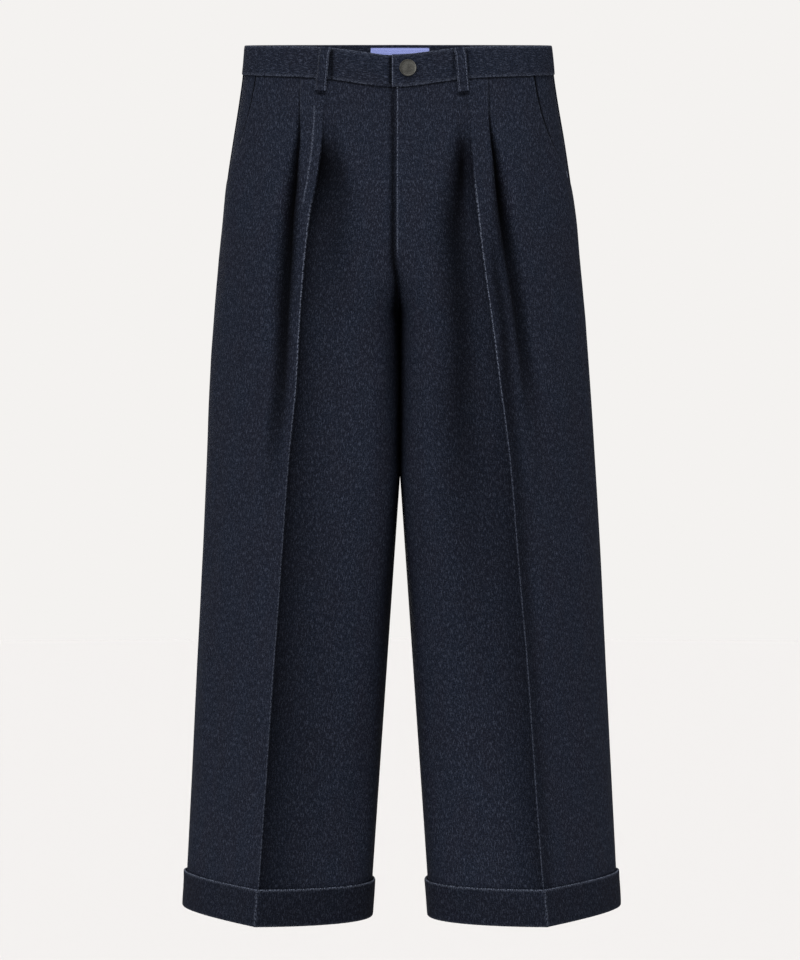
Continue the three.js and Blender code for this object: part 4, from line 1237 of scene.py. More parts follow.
    def build(self, finishes: Finishes) -> bpy.types.Object:
        """Makes and dresses the panel."""
        levels = panel_levels(self.top_step, self.leg_step, self.fork_steps)
        distance = self.columns(levels)
        lengths = FORM.lengths(self.side, levels)
        laps = 1 + distance / np.where(distance < 0, lengths[:, :1], lengths[:, 1:2])
        level = levels[:, None]
        skin = FORM.skin(self.side, levels, laps)
        normal = FORM.normals(self.side, levels, np.clip(laps, 0.0, 2.0))
        from_edge = distance + lengths[:, :1]
        to_edge = distance[:, -1:] - distance
        height, wear = self.lines(level, distance, from_edge)
        height = height * smoothstep(-level, -S.seam_level, -S.seam_level + 6)
        calm = calm_share(level, from_edge, to_edge)
        seed = FRONT_TOUCHES[self.side].seed
        height = height + Drift(seed, 0.75).at(distance, level) * calm
        height = height + Drift(seed + 10, 0.3, 38, 90).at(distance, level) * calm
        height = height - 0.35 * bump(to_edge, 1.4) * smoothstep(-level, 150, 170)
        from_middle = self.side.value * (skin[..., 0] - FORM.front_edge_x(self.side, levels)[:, None])
        # Painted shade for the cloth's colour, and the depth of the soft trough.
        fold, trough = self.shade(level, distance, from_middle)
        height = height - self.pleats(level, distance) - trough
        outer = settle(skin + normal * height[..., None], levels, from_edge)
        inner = outer - normal * S.cloth
        mouth = (1 - smoothstep(to_edge, 0.2, 1.2)) * (level > S.mouth_end)
        wear = np.maximum(wear, self.mouth_wear * mouth)
        places = np.stack([distance, np.broadcast_to(level, distance.shape)], -1)
        name = f"front_{self.side.word}"
        piece = Cloth.wall(f"{name}_cloth", outer, inner, places, wear, fold)
        dress(piece, finishes.denim, "denim", name)
        return piece


@dataclass
class BackPanel:
    """Back panel: plain and full over the seat, with a pressed rear crease down the leg."""

    side: Side
    top_step: float = 4.0
    leg_step: float = 6.4
    fork_steps: int = 20
    columns: int = 112
    crowding: float = 1.35
    # Painted shade for each millimetre of the seat folds' depth.
    slack_shade: float = 0.16
    flat_size: tuple[float, float] = (0.34, 1.03)

    def build(self, finishes: Finishes) -> bpy.types.Object:
        """Makes and dresses the panel."""
        levels = panel_levels(self.top_step, self.leg_step, self.fork_steps)
        lengths = FORM.lengths(self.side, levels)
        share = np.linspace(-1, 1, self.columns)
        laps = 3 + np.sign(share) * np.abs(share) ** self.crowding
        laps = np.broadcast_to(laps, (len(levels), self.columns)).copy()
        level = levels[:, None]
        distance = (laps - 3) * np.where(laps < 3, lengths[:, 2:3], lengths[:, 3:4])
        skin = FORM.skin(self.side, levels, laps)
        normal = FORM.normals(self.side, levels, laps)
        from_side = distance + lengths[:, 2:3]
        to_centre = lengths[:, 3:4] - distance
        calm = calm_share(level, from_side, to_centre)
        seed = 31 if self.side is Side.RIGHT else 32
        height = Drift(seed, 0.9).at(distance, level)
        height = (height + Drift(seed + 10, 0.3, 42, 110).at(distance, level)) * calm
        pressed = smoothstep(-level, 300, 420)
        height = height + 0.55 * bump(distance, 1.5) * pressed
        sunk_centre = bump(to_centre, 1.8) * (level > S.rear_fork_start)
        height = height - 0.35 * bump(from_side, 1.4) - 0.5 * sunk_centre
        slack = self.seat_folds(level, distance, to_centre) * calm
        height = height - slack
        outer = settle(skin + normal * height[..., None], levels, to_centre)
        inner = outer - normal * S.cloth
        wear = bump(distance, 0.9) * pressed * 0.5
        places = np.stack([distance, np.broadcast_to(level, distance.shape)], -1)
        # Painted shade: darker beside the rear crease, along the centre back and side seams, under the waist
        # seam and in the seat folds.
        flank = 0.5 * np.exp(-np.maximum(0, distance) / 34) * smoothstep(distance, -0.2, 1.4) * pressed
        seam = 0.7 * bump(to_centre, 1.3) + 0.6 * bump(from_side, 1.0) + 0.8 * seam_shade(level)
        fold = 1 - (1 - flank) * (1 - np.clip(seam, 0, 0.9)) * (1 - self.slack_shade * slack)
        name = f"back_{self.side.word}"
        piece = Cloth.wall(f"{name}_cloth", outer, inner, places, wear, fold)
        dress(piece, finishes.denim, "denim", name)
        return piece

    def seat_folds(self, level: Grid, distance: Grid, to_centre: Grid) -> Grid:
        """Soft slack folds that run down and out from the fork, under the seat, and down the leg.

        Args:
            level: Levels, (m, 1).
            distance: Distances from the rear crease, (m, n).
            to_centre: Distances to the centre back or inner leg seam, (m, n).

        Returns:
            The folds' depth in millimetres, (m, n).
        """
        depth = np.zeros(np.broadcast(level, distance).shape)
        reach = smoothstep(to_centre, 8, 40) * (1 - smoothstep(to_centre, 70, 150))
        for drop, slope, width, deep in ((-322, 0.42, 9, 3.6), (-352, 0.55, 12, 3.4), (-398, 0.7, 15, 2.6)):
            depth += deep * bump(level - drop + to_centre * slope, width) * reach
        for offset, width, deep in ((-58, 20, 3.2), (52, 17, 2.4)):
            drop = smoothstep(-level, 330, 460) * (1 - smoothstep(-level, 700, 900))
            depth += deep * bump(distance - offset, width) * drop
        return depth


@dataclass
class PocketFacing:
    """Facing of a slant pocket: it lies under the front panel's mouth and reaches the side seam."""

    side: Side
    under: float = 22
    clear: float = 0.2
    # How dark the painted shadow is under the front panel and just beyond its mouth edge.
    dark: float = 0.9
    rows: int = 60
    columns: int = 90
    flat_size: tuple[float, float] = (0.08, 0.155)
    flat_area: float = 0.009

    def build(self, finishes: Finishes) -> bpy.types.Object:
        """Makes and dresses the facing."""
        levels = np.linspace(S.seam_level + S.seam_lap, S.facing_end, self.rows)
        seam = FORM.lengths(self.side, levels)[:, 1]
        inset = mouth_inset(self.side, levels)
        start = seam - inset - self.under * smoothstep(levels, S.facing_end - 14, S.mouth_end + 26) - 3
        distance = start[:, None] + (seam - start)[:, None] * np.linspace(0, 1, self.columns)
        laps = 1 + distance / seam[:, None]
        normal = FORM.normals(self.side, levels, laps)
        panel = FrontPanel(self.side)
        drop = panel.pleats(levels[:, None], distance) + S.cloth + S.gap + self.clear
        outer = FORM.skin(self.side, levels, laps) - normal * drop[..., None]
        inner = outer - normal * S.facing_cloth
        places = np.stack([distance, np.broadcast_to(levels[:, None], distance.shape)], -1)
        name = f"pocket_facing_{self.side.word}"
        # Painted shadow on the facing, under the front panel and just beyond its mouth edge.
        fold = self.dark * (1 - smoothstep(distance - (seam - inset)[:, None], 3.4, 6.4))
        piece = Cloth.wall(f"{name}_cloth", outer, inner, places, None, fold)
        dress(piece, finishes.denim, "denim", name)
        return piece


@dataclass
class FlyShield:
    """Fly shield: the strip that backs the closed fly inside."""

    left_x: float = 34
    right_x: float = -12
    clear: float = 1.0
    flat_size: tuple[float, float] = (0.047, 0.225)

    def build(self, finishes: Finishes) -> bpy.types.Object:
        """Makes and dresses the shield."""
        levels = np.linspace(S.seam_level, S.fly_end + 4, 60)
        xs = np.linspace(self.left_x, self.right_x, 24)
        outer = np.zeros((len(levels), len(xs), 3))
        normals = np.zeros_like(outer)
        for side in Side:
            mine = xs < S.fly_edge_x if side is Side.RIGHT else xs >= S.fly_edge_x
            length = FORM.lengths(side, levels)[:, :1]
            laps = np.abs(xs[mine] - S.fly_edge_x) / length
            distance = (laps - 1) * length
            normal = FORM.normals(side, levels, laps)
            drop = FrontPanel(side).pleats(levels[:, None], distance) + S.cloth + S.gap + self.clear
            outer[:, mine] = FORM.skin(side, levels, laps) - normal * drop[..., None]
            normals[:, mine] = normal
        inner = outer - normals * S.facing_cloth
        places = np.stack(np.broadcast_arrays(xs[None, :], levels[:, None]), -1)
        piece = Cloth.wall("fly_shield_cloth", outer, inner, places)
        dress(piece, finishes.denim, "denim", "fly_shield")
        return piece


@dataclass
class Waistband:
    """Waistband: one folded strip from the end on top at the front, round the back, to the end beneath."""

    scale_height: float = 36
    crossing: tuple[float, float] = (0.42, 0.14)
    flat_size: tuple[float, float] = (0.93, 0.0375)
    # The strip's section, up its outer face and down its inner one: rise, depth in millimetres, wear.
    section: tuple[tuple[float, float, float], ...] = (
        (0.0, 0.72, 0), (0.012, 0.3, 0.22), (0.05, 0.05, 0.12), (0.12, 0, 0), (0.3, 0, 0), (0.5, 0, 0),
        (0.7, 0, 0), (0.88, 0, 0), (0.955, 0.15, 0.1), (0.985, 0.5, 0.3), (1.0, 1.2, 0.35), (0.985, 1.9, 0.1),
        (0.955, 2.25, 0), (0.8, 2.4, 0), (0.5, 2.4, 0), (0.2, 2.4, 0), (0.075, 2.4, 0), (0.07, 0.74, 0),
    )
    # Painted shadow beside the band's own end and beside the front loops: place, reach, share.
    end_shade: tuple[float, float, float] = (-11.2, 2.2, 0.9)
    loop_shades: tuple[tuple[float, float, float], ...] = (
        (-80.5, 2.4, 0.85), (79.5, 2.0, 0.6), (63, 1.6, 0.5),
    )

    def path(self) -> list[tuple[Side, float, float, float]]:
        """Stations along the strip.

        Returns:
            The side, the lap, how far the outer face lies out, and the distance along the strip.
        """
        right = FORM.lengths(Side.RIGHT, np.array([S.seam_level]))[0]
        left = FORM.lengths(Side.LEFT, np.array([S.seam_level]))[0]
        sunk = S.band_proud - S.band_cloth - S.gap
        end = abs(S.band_end_x - S.fly_edge_x) / right[0]
        under = (S.band_under_x - S.fly_edge_x) / left[0]
        proud = S.band_proud
        leave, arrive = self.crossing
        legs = [(Side.RIGHT, end, 0.0, proud, proud, 7), (Side.LEFT, 0.0, 4.0, proud, proud, 190),
                (Side.RIGHT, 4.0, leave, proud, proud, 170), (Side.RIGHT, leave, arrive, proud, sunk, 16),
                (Side.RIGHT, arrive, 0.0, sunk, sunk, 6), (Side.LEFT, 0.0, under, sunk, sunk, 10)]
        made: list[tuple[Side, float, float, float]] = []
        along = 0.0
        for side, start, stop, face_start, face_stop, count in legs:
            lengths = right if side is Side.RIGHT else left
            reach = np.concatenate([[0], np.cumsum(lengths)])
            previous = None
            for share in np.linspace(0, 1, count, endpoint=False):
                lap = start + (stop - start) * share
                spot = float(np.interp(lap, np.arange(5), reach))
                if previous is not None:
                    along += abs(spot - previous)
                previous = spot
                face = face_start + (face_stop - face_start) * float(smoothstep(share, 0, 1))
                made.append((side, lap, face, along))
        made.append((Side.LEFT, under, sunk, along + 2))
        return made

    def shade(self, profiles: Grid) -> Grid:
        """Painted shadow: how dark the band is made beside its end on top and beside the front loops.

        Args:
            profiles: The strip's points in millimetres, (stations, points, 3).

        Returns:
            The painted shadow's share of each point, (stations, points).
        """
        x, front = profiles[..., 0], profiles[..., 1] < 0
        beneath = (np.arange(len(profiles)) > 8)[:, None]
        place, reach, share = self.end_shade
        dark = share * bump(x - place, reach) * beneath
        for place, reach, share in self.loop_shades:
            dark = dark + share * bump(x - place, reach)
        return np.clip(dark * front, 0, 0.95)

    def build(self, finishes: Finishes) -> bpy.types.Object:
        """Makes and dresses the band."""
        rises, depths, wears = np.array(self.section, float).T
        path = self.path()
        profiles = np.zeros((len(path), len(rises), 3))
        for side in Side:
            mine = [i for i, station in enumerate(path) if station[0] is side]
            laps = np.array([path[i][1] for i in mine])
            faces = np.array([path[i][2] for i in mine])
            normal = FORM.band_normals(side, laps)
            points = FORM.band(side, rises, laps)
            out = faces[None, :] - depths[:, None]
            profiles[mine] = (points + normal[None] * out[..., None]).transpose(1, 0, 2)
        along = np.array([station[3] for station in path])
        heights = rises * self.scale_height
        swell = Drift(51, 0.28, 120, 60).at(along[:, None], np.broadcast_to(heights, profiles.shape[:2]))
        outwards = unit(profiles * np.array([1, 1, 0]))
        profiles = profiles + outwards * (swell * smoothstep(rises, 0.05, 0.3))[..., None]
        ending = bump(along - along[0], 0.9)[:, None] * (depths < 1)
        wear = np.maximum(np.broadcast_to(wears, profiles.shape[:2]), 0.8 * ending)
        places = np.stack(np.broadcast_arrays(heights, along[:, None]), -1)
        # The band carries its painted shadow beside its end and the front loops.
        piece = Cloth.ring("waistband_cloth", profiles, places, wear, False, self.shade(profiles))
        dress(piece, finishes.denim, "denim", "waistband")
        return piece


# The nearest to the middle, in millimetres, at which a lap is looked up.
NEAR_MIDDLE = 0.4


@dataclass
class WaistLabel:
    """Bare woven label sewn inside the back of the waistband."""

    half_width: float = 37.5
    top_drop: float = 4
    height: float = 27
    clear: float = 0.3
    rows: int = 12
    columns: int = 41
    flat_size: tuple[float, float] = (0.075, 0.027)

    def build(self, finishes: Finishes) -> bpy.types.Object:
        """Makes and dresses the label."""
        rises = 1 - (self.top_drop + np.linspace(0, self.height, self.rows)) / S.band_height
        xs = np.linspace(-self.half_width, self.half_width, self.columns)
        outer = np.zeros((len(rises), len(xs), 3))
        normals = np.zeros((len(xs), 3))
        inside = S.band_proud - S.band_cloth - S.gap - self.clear
        for side in Side:
            mine = np.where(xs < 0 if side is Side.RIGHT else xs >= 0)[0]
            reach = np.maximum(np.abs(xs[mine]), NEAR_MIDDLE)
            laps = np.array([FORM.lap_at_x(side, S.seam_level, x, False) for x in reach])
            normals[mine] = FORM.band_normals(side, laps)
            outer[:, mine] = FORM.band(side, rises, laps) + normals[mine] * inside
        row = np.arange(self.rows)
        from_rim = np.minimum(row, row[::-1])[:, None] * self.height / (self.rows - 1)
        edge = np.minimum(self.half_width - np.abs(xs)[None, :], from_rim)
        tucked = 0.35 * bump(edge, 1.6)
        inner = outer - normals[None] * (S.label_cloth - tucked)[..., None]
        places = np.stack(np.broadcast_arrays(xs[None, :], rises[:, None] * S.band_height), -1)
        piece = Cloth.wall("waist_label_cloth", outer, inner, places)
        dress(piece, finishes.label, "label", "waist_label")
        return piece


@dataclass
class Cuff:
    """Turn-up cuff: an outer ply that stands a little clear of the leg, folded under the leg's end."""

    side: Side
    height: float = 44
    clear: float = 1.1
    cloth: float = 2.6
    lip: float = 2.2
    per_arc: int = 84
    lip_wear: float = 0.6
    crease_wear: float = 0.3
    # Painted shade: base_shade darkens the whole cuff, flank_shade its inner side on the right and the left
    # leg.
    base_shade: float = 0.27
    flank_shade: tuple[float, float] = (0.28, 0.03)
    flat_size: tuple[float, float] = (0.66, 0.054)

    def build(self, finishes: Finishes) -> bpy.types.Object:
        """Makes and dresses the cuff."""
        top, bottom = S.hem_level + self.height, S.hem_level
        face = self.clear + self.cloth
        profile = np.array([
            (top - 5, self.clear), (top - 0.4, self.clear + 0.1), (top, self.clear + 0.7),
            (top + 0.1, self.clear + 1.4), (top - 0.2, face - 0.5), (top - 1.0, face), (top - 3, face + 0.1),
            (top - 11, face), (top - 22, face + 0.1), (bottom + 11, face + 0.1), (bottom + 3.5, face),
            (bottom + 1.2, face - 0.2), (bottom + 0.3, face - 0.9), (bottom, face - 2.0), (bottom, 0.4),
            (bottom + 0.1, -self.lip + 0.4), (bottom + 0.7, -self.lip), (bottom + 1.9, -self.lip),
            (bottom + S.band_cloth, -self.lip + 0.6), (bottom + S.band_cloth, self.clear),
        ])
        worn = np.array([0, 0, 0.5, 1, 1, 0.35, 0, 0, 0, 0, 0, 0.15, 0.3, 0.1, 0, 0, 0, 0, 0, 0], float)
        share = np.linspace(0, 1, self.per_arc, endpoint=False)
        eased = 0.5 - 0.5 * np.cos(math.pi * share)
        laps = np.concatenate([arc + 0.55 * share + 0.45 * eased for arc in range(4)])
        grid = np.broadcast_to(laps, (len(profile), len(laps))).copy()
        levels = profile[:, 0]
        skin = FORM.skin(self.side, levels, grid)
        normal = FORM.normals(self.side, levels, np.clip(grid, 0.03, 3.97))
        lengths = FORM.lengths(self.side, np.array([bottom]))[0]
        along = np.interp(laps, np.arange(5), np.concatenate([[0], np.cumsum(lengths)]))
        seed = 61 if self.side is Side.RIGHT else 62
        easy = np.interp(levels, [bottom, bottom + 4, top], [0.15, 0.5, 1.0])[:, None]
        swell = Drift(seed, 0.32, 150, 80).at(along[None, :], levels[:, None]) * easy
        outer_face = (profile[:, 1] > self.clear + 0.5)[:, None]
        out = profile[:, 1][:, None] + swell * outer_face
        crease = np.minimum(np.abs(along - lengths[0]), np.abs(along - lengths[:3].sum()))
        out = out + 0.4 * bump(crease, 1.6)[None, :] * outer_face
        points = skin + normal * out[..., None]
        rubbed = (self.crease_wear * bump(crease, 0.8))[None, :] * outer_face
        wear = np.maximum(worn[:, None] * self.lip_wear, rubbed)
        # Painted shade: the whole cuff a little darker, and the inner side of its front darker still, most on
        # the right leg.
        inward = lengths[0] - along
        deep, light = self.flank_shade
        flank = smoothstep(inward, -1, 4) * (deep if self.side is Side.RIGHT else light)
        fold = np.broadcast_to(1 - (1 - self.base_shade) * (1 - flank), wear.shape)
        places = np.stack(np.broadcast_arrays(along[None, :] - lengths[0], levels[:, None]), -1)
        name = f"cuff_{self.side.word}"
        piece = Cloth.ring(f"{name}_cloth", points.transpose(1, 0, 2), places.transpose(1, 0, 2),
                           wear.T.copy(), True, fold.T.copy())
        dress(piece, finishes.denim, "denim", name)
        return piece


@dataclass
class BeltLoop:
    """Belt loop: a narrow folded strip, sewn down at the band's top edge and below its seam."""

    name: str
    side: Side
    front: bool
    top_x: float
    bottom_x: float
    width: float = 13
    stand: float = 3.4
    below_seam: float = 15
    flat_size: tuple[float, float] = (0.0145, 0.062)
    length: float = 66
    stitches: int = 15
    spots: dict[tuple[Side, float], tuple[Grid, list[float]]] = field(default_factory=dict, repr=False)

    def surface(self) -> tuple[Grid, Grid, Grid]:
        """Outer face of the strip.

        Returns:
            The points (m, n, 3), the outward directions (m, n, 3), and the places (m, n, 2).
        """
        steps = np.linspace(0, 7, 57)
        knots = np.arange(8)
        rise = np.interp(steps, knots, [1, 0.88, 0.76, 0.4, 0.05, 0, 0, 0])
        below = np.interp(steps, knots, [0, 0, 0, 0, 0, 3, 7.5, self.below_seam])
        stand = np.interp(steps, knots, [S.gap, S.gap, self.stand, self.stand, self.stand, self.stand,
                                         S.gap, S.gap])
        stand = np.convolve(np.pad(stand, 4, "edge"), np.ones(9) / 9, "valid")
        shares = np.array([-0.5, -0.47, -0.42, -0.36, -0.28, -0.15, 0, 0.15, 0.28, 0.36, 0.42, 0.47, 0.5])
        roll = np.array([0.75, 0.3, 0.05, -0.05, 0.0, -0.12, -0.15, -0.12, 0.0, -0.05, 0.05, 0.3, 0.75])
        points = np.zeros((len(steps), len(shares), 3))
        normals = np.zeros_like(points)
        for column, share in enumerate(shares):
            for row in range(len(steps)):
                centre = self.top_x + (self.bottom_x - self.top_x) * steps[row] / 7
                x = self.side.value * centre + share * self.width
                on = Side.RIGHT if x < 0 else Side.LEFT
                level = S.seam_level - below[row]
                lap = np.array([self._lap(on, level, abs(x))])
                normal = FORM.band_normals(on, lap)[0]
                if below[row] > 0:
                    base = FORM.skin(on, np.array([level]), lap[None])[0, 0]
                    base = base + np.array([0, 0, S.band_clear * (1 - min(below[row] / 3, 1))])
                else:
                    base = FORM.band(on, rise[row:row + 1], lap)[0, 0]
                out = S.band_proud + stand[row] + S.loop_cloth - roll[column]
                points[row, column] = base + normal * out
                normals[row, column] = normal
        down = steps / 7 * self.length
        places = np.stack(np.broadcast_arrays(shares[None, :] * self.width, -down[:, None]), -1)
        return points, normals, places

    def _lap(self, on: Side, level: float, x: float) -> float:
        """Lap of a point of the strip, read from a few that are worked out at the same height.

        Args:
            on: The side of the body that the point lies on.
            level: Its level.
            x: Its distance from the middle.

        Returns:
            The lap.
        """
        key = (on, round(level, 3))
        if key not in self.spots:
            far = max(abs(self.top_x), abs(self.bottom_x)) + self.width
            near = min(abs(self.top_x), abs(self.bottom_x)) - self.width
            spots = np.linspace(max(near, NEAR_MIDDLE), far, 5)
            self.spots[key] = (spots, [FORM.lap_at_x(on, level, spot, self.front) for spot in spots])
        spots, laps = self.spots[key]
        return float(np.interp(max(x, NEAR_MIDDLE), spots, laps))

    def build(self, finishes: Finishes) -> list[bpy.types.Object]:
        """Makes and dresses the loop and its two rows of stitches."""
        outer, normals, places = self.surface()
        inner = outer - normals * S.loop_cloth
        roll = np.abs(places[..., 0]) / self.width
        wear = 0.35 * smoothstep(roll, 0.42, 0.49)
        piece = Cloth.wall(f"{self.name}_cloth", outer, inner, places, wear)
        dress(piece, finishes.denim, "denim", self.name)
        threads = []
        for word, column in (("one", 3), ("two", 9)):
            rows = Stitches(f"{self.name}_stitches_{word}")
            rows.run(outer[:, column], normals[:, column], self.stitches)
            hidden = self.side is Side.RIGHT and column == 3
            threads.append(rows.build(finishes.dark_thread if hidden else finishes.pale_thread))
        return [piece, *threads]


# Where the five points of a stitch lie along it, as shares of its length from its middle.
STITCH_SHARES = np.array([-0.5, -0.3, 0.0, 0.3, 0.5])


class Stitches:
    """Rows of short stitches, each a small bent thread that dips into the cloth at its ends.

    A thread has six sides. Its middle stands a little proud of the cloth, and its shoulders less so.
    """

    sides: int = 6
    crown: float = 0.25
    shoulder: float = 0.12

    def __init__(self, name: str, radius: float = 0.3, sink: float = 0.25) -> None:
        """Starts with no stitches.

        Args:
            name: The piece's name.
            radius: The thread's radius in millimetres.
            sink: How far the ends lie in the cloth.
        """
        self.name = name
        self.radius = radius
        self.sink = sink
        self.points: list[Grid] = []
        self.faces: list[list[int]] = []

    def run(self, line: Grid, normals: Grid, count: int, cover: float = 0.72) -> None:
        """Sews a row along a line.

        Args:
            line: The line's points in millimetres, (n, 3).
            normals: The cloth's outward directions there, (n, 3).
            count: How many stitches the row has.
            cover: The share of each pitch that shows as thread.
        """
        steps = np.linalg.norm(np.diff(line, axis=0), axis=1)
        run = np.concatenate([[0], np.cumsum(steps)])
        pitch = run[-1] / count
        for i in range(count):
            places = pitch * (i + 0.5 + cover * STITCH_SHARES)
            spots = np.stack([np.interp(places, run, line[:, k]) for k in range(3)], -1)
            ups = unit(np.stack([np.interp(places, run, normals[:, k]) for k in range(3)], -1))
            self.thread(spots, ups)

    def thread(self, spots: Grid, ups: Grid) -> None:
        """Adds one stitch along a few points.

        Args:
            spots: The stitch's five points in millimetres, (5, 3).
            ups: The cloth's outward directions there, (5, 3).
        """
        lift = np.array([-self.sink, self.shoulder, self.crown, self.shoulder, -self.sink])
        centres = spots + ups * lift[:, None]
        ahead = unit(np.gradient(centres, axis=0))
        across = unit(np.cross(ahead, ups))
        over = np.cross(across, ahead)
        sides = self.sides
        angles = np.linspace(0, 2 * math.pi, sides, endpoint=False)[None, :, None]
        loop = np.cos(angles) * across[:, None] + np.sin(angles) * over[:, None]
        rings = centres[:, None] + loop * self.radius
        base = sum(len(p) for p in self.points)
        self.points.append(rings.reshape(-1, 3))
        for k in range(len(spots) - 1):
            for j in range(sides):
                a, b = base + k * sides + j, base + k * sides + (j + 1) % sides
                self.faces.append([a, b, b + sides, a + sides])
        last = base + (len(spots) - 1) * sides
        self.faces.append([base + j for j in reversed(range(sides))])
        self.faces.append([last + j for j in range(sides)])

    def build(self, material: bpy.types.Material) -> bpy.types.Object:
        """Makes the rows one piece and dresses it."""
        mesh = bpy.data.meshes.new(self.name)
        mesh.from_pydata((np.concatenate(self.points) * MM).tolist(), [], self.faces)
        turn_outwards(mesh)
        piece = Cloth.place(self.name, mesh)
        return dress(piece, material, "denim")


def turn_outwards(mesh: bpy.types.Mesh) -> None:
    """Points the faces of a mesh outwards."""
    shape = bmesh.new()
    shape.from_mesh(mesh)
    bmesh.ops.recalc_face_normals(shape, faces=shape.faces)
    shape.to_mesh(mesh)
    shape.free()


@dataclass
class Tacks:
    """Bar tacks: short dense rows of thread by the pocket mouths and at the fly's end."""

    length: float = 7.0
    width: float = 1.8
    threads: int = 9
    slant: float = 12
    from_mouth: float = 1.6
    fly_level: float = -241
    fly_inset: float = 4.6
    fly_slant: float = 78

    def tack(self, name: str, side: Side, level: float, distance: float, angle: float,
             material: bpy.types.Material) -> bpy.types.Object:
        """Sews one tack on a front panel.

        Args:
            name: The piece's name.
            side: The panel's side.
            level: The level of its middle.
            distance: The distance of its middle from the crease.
            angle: How far it slants from upright, in degrees.
            material: Its thread.

        Returns:
            The new piece.
        """
        levels = np.array([level])
        lengths = FORM.lengths(side, levels)[0]
        lap = 1 + distance / (lengths[0] if distance < 0 else lengths[1])
        normal = FORM.normals(side, levels, np.array([[np.clip(lap, 0, 2)]]))[0, 0]
        drop = FrontPanel(side).pleats(levels[:, None], np.array([[distance]]))[0, 0]
        middle = FORM.skin(side, levels, np.array([[lap]]))[0, 0] - normal * drop
        upright = np.array([0, 0, 1.0])
        upright = unit(upright - normal * (upright @ normal))
        level_way = np.cross(normal, upright)
        a = math.radians(angle)
        along = upright * math.cos(a) + level_way * math.sin(a)
        over = np.cross(along, normal)
        rows = Stitches(name, radius=0.28, sink=0.2)
        for i in range(self.threads):
            spot = middle + along * self.length * ((i + 0.5) / self.threads - 0.5)
            ends = STITCH_SHARES[:, None] * self.width * over
            lean = STITCH_SHARES[:, None] * along * 0.5
            rows.thread(spot + ends + lean, np.broadcast_to(normal, (5, 3)))
        return rows.build(material)

    def build(self, finishes: Finishes) -> list[bpy.types.Object]:
        """Sews the tacks: one near each pocket mouth's lower end and one at the fly's."""
        made = []
        for side, thread, level in ((Side.RIGHT, finishes.dark_thread, -100.0),
                                    (Side.LEFT, finishes.pale_thread, -141.0)):
            at = np.array([level])
            inset = FORM.lengths(side, at)[0, 1] - mouth_inset(side, at)[0] - self.from_mouth
            slant = self.slant * side.value
            made.append(self.tack(f"pocket_tack_{side.word}", side, level, inset, slant, thread))
        inset = self.fly_inset - FORM.lengths(Side.LEFT, np.array([self.fly_level]))[0, 0]
        made.append(self.tack("fly_tack", Side.LEFT, self.fly_level, inset, self.fly_slant,
                              finishes.dark_thread))
        return made


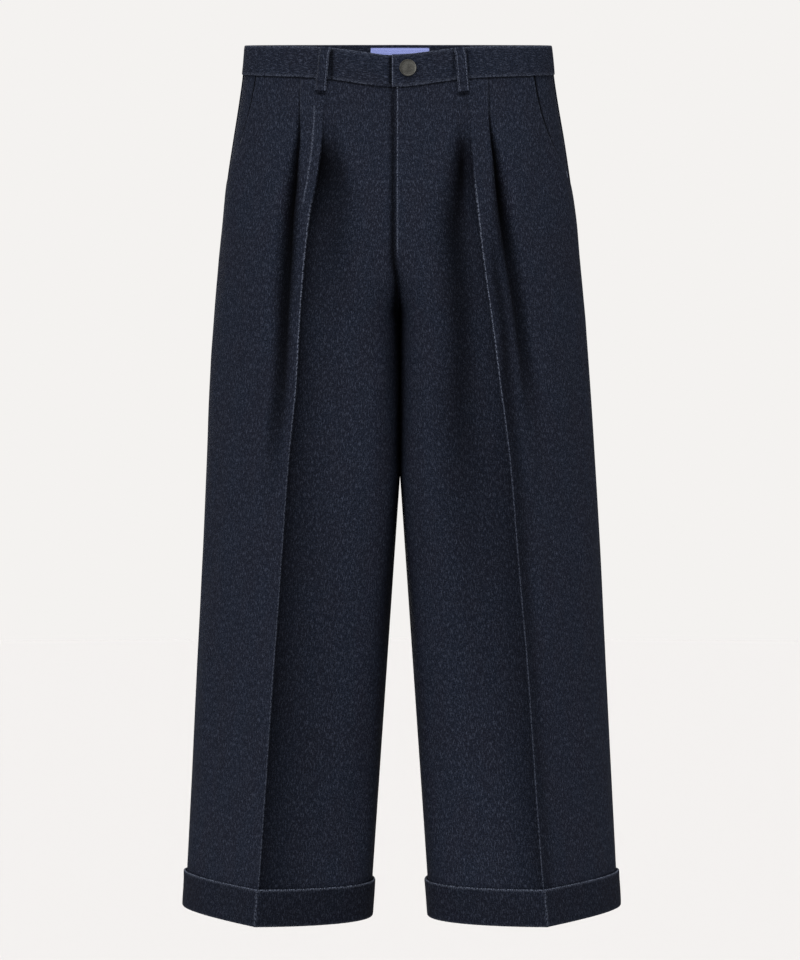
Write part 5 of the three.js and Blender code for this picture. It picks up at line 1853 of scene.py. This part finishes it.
@dataclass
class ShankButton:
    """Shank button: a dished cap with a rounded rim, on a short shank."""

    radius: float = 10
    shank_radius: float = 4
    x: float = 9.3
    rise: float = 0.54
    back: float = 2.0
    thick: float = 2.3
    dish: float = 0.7
    rim: float = 1.3
    step: float = 0.25
    slope: float = 0.5
    dome_inset: float = 4.5
    dome: float = 0.18
    rounding: float = 0.4
    turn: float = 35

    def build(self, finishes: Finishes) -> bpy.types.Object:
        """Models the cap from a cylinder and turns it to the band."""
        bpy.ops.object.select_all(action="DESELECT")
        bpy.ops.mesh.primitive_cylinder_add(vertices=72, radius=self.radius * MM, depth=self.thick * MM,
                                            location=(0, 0, (self.back + self.thick / 2) * MM))
        cap = bpy.context.active_object
        cap.name = "button_cap"
        cap.data.transform(cap.matrix_world)
        cap.matrix_world = Matrix.Identity(4)
        self._shape(cap)
        level = np.array([S.seam_level])
        lap = (self.x - S.fly_edge_x) / FORM.lengths(Side.LEFT, level)[0, 0]
        normal = FORM.band_normals(Side.LEFT, np.array([lap]))[0]
        place = FORM.band(Side.LEFT, np.array([self.rise]), np.array([lap]))[0, 0] + normal * S.band_proud
        turn = Vector(normal.tolist()).to_track_quat("Z", "Y").to_matrix().to_4x4()
        cap.data.transform(Matrix.Translation((place * MM).tolist()) @ turn)
        smooth(cap, self.turn)
        dress(cap, finishes.gunmetal, "gunmetal", "button")
        return cap

    def _shape(self, cap: bpy.types.Object) -> None:
        """Insets and dishes the face, extrudes the shank from the back and rounds the rims."""
        bpy.ops.object.mode_set(mode="EDIT")
        bpy.ops.mesh.select_mode(type="FACE")
        for up in (True, False):
            self._pick(cap, up)
            if up:
                for inset, shift in ((self.rim, -self.step), (self.slope, self.step - self.dish),
                                     (self.dome_inset, self.dome)):
                    bpy.ops.mesh.inset(thickness=inset * MM)
                    bpy.ops.transform.translate(value=(0, 0, shift * MM))
            else:
                bpy.ops.mesh.inset(thickness=(self.radius - self.shank_radius) * MM)
                bpy.ops.mesh.extrude_region_move(
                    TRANSFORM_OT_translate={"value": (0, 0, -(self.back - S.gap) * MM)})
        bpy.ops.object.mode_set(mode="OBJECT")
        rim = cap.modifiers.new("rim", "BEVEL")
        rim.width = self.rounding * MM
        rim.segments = 4
        rim.limit_method = "ANGLE"
        rim.angle_limit = math.radians(self.turn)
        bpy.ops.object.modifier_apply(modifier=rim.name)

    def _pick(self, cap: bpy.types.Object, up: bool) -> None:
        """Selects the cap's large front or back face."""
        bpy.ops.mesh.select_all(action="DESELECT")
        bpy.ops.object.mode_set(mode="OBJECT")
        big = [f for f in cap.data.polygons if len(f.vertices) > 8 and (f.normal.z > 0.9) == up]
        for face in big:
            face.select = True
        bpy.ops.object.mode_set(mode="EDIT")


LOOPS = (
    BeltLoop("belt_loop_front_right", Side.RIGHT, True, 88.5, 93.5),
    BeltLoop("belt_loop_front_left", Side.LEFT, True, 70, 75),
    BeltLoop("belt_loop_back_right", Side.RIGHT, False, 108, 108),
    BeltLoop("belt_loop_back_left", Side.LEFT, False, 108, 108),
    BeltLoop("belt_loop_back_centre", Side.LEFT, False, 0, 0),
)


def main() -> None:
    """Builds the stage and every piece of the jeans, in the order of sewing."""
    logging.basicConfig(level=logging.INFO, format="%(message)s")
    Stage().build()
    finishes = Finishes()
    for side in Side:
        FrontPanel(side).build(finishes)
        BackPanel(side).build(finishes)
        PocketFacing(side).build(finishes)
        Cuff(side).build(finishes)
    FlyShield().build(finishes)
    Waistband().build(finishes)
    WaistLabel().build(finishes)
    for loop in LOOPS:
        loop.build(finishes)
    Tacks().build(finishes)
    ShankButton().build(finishes)


if __name__ == "__main__":
    main()
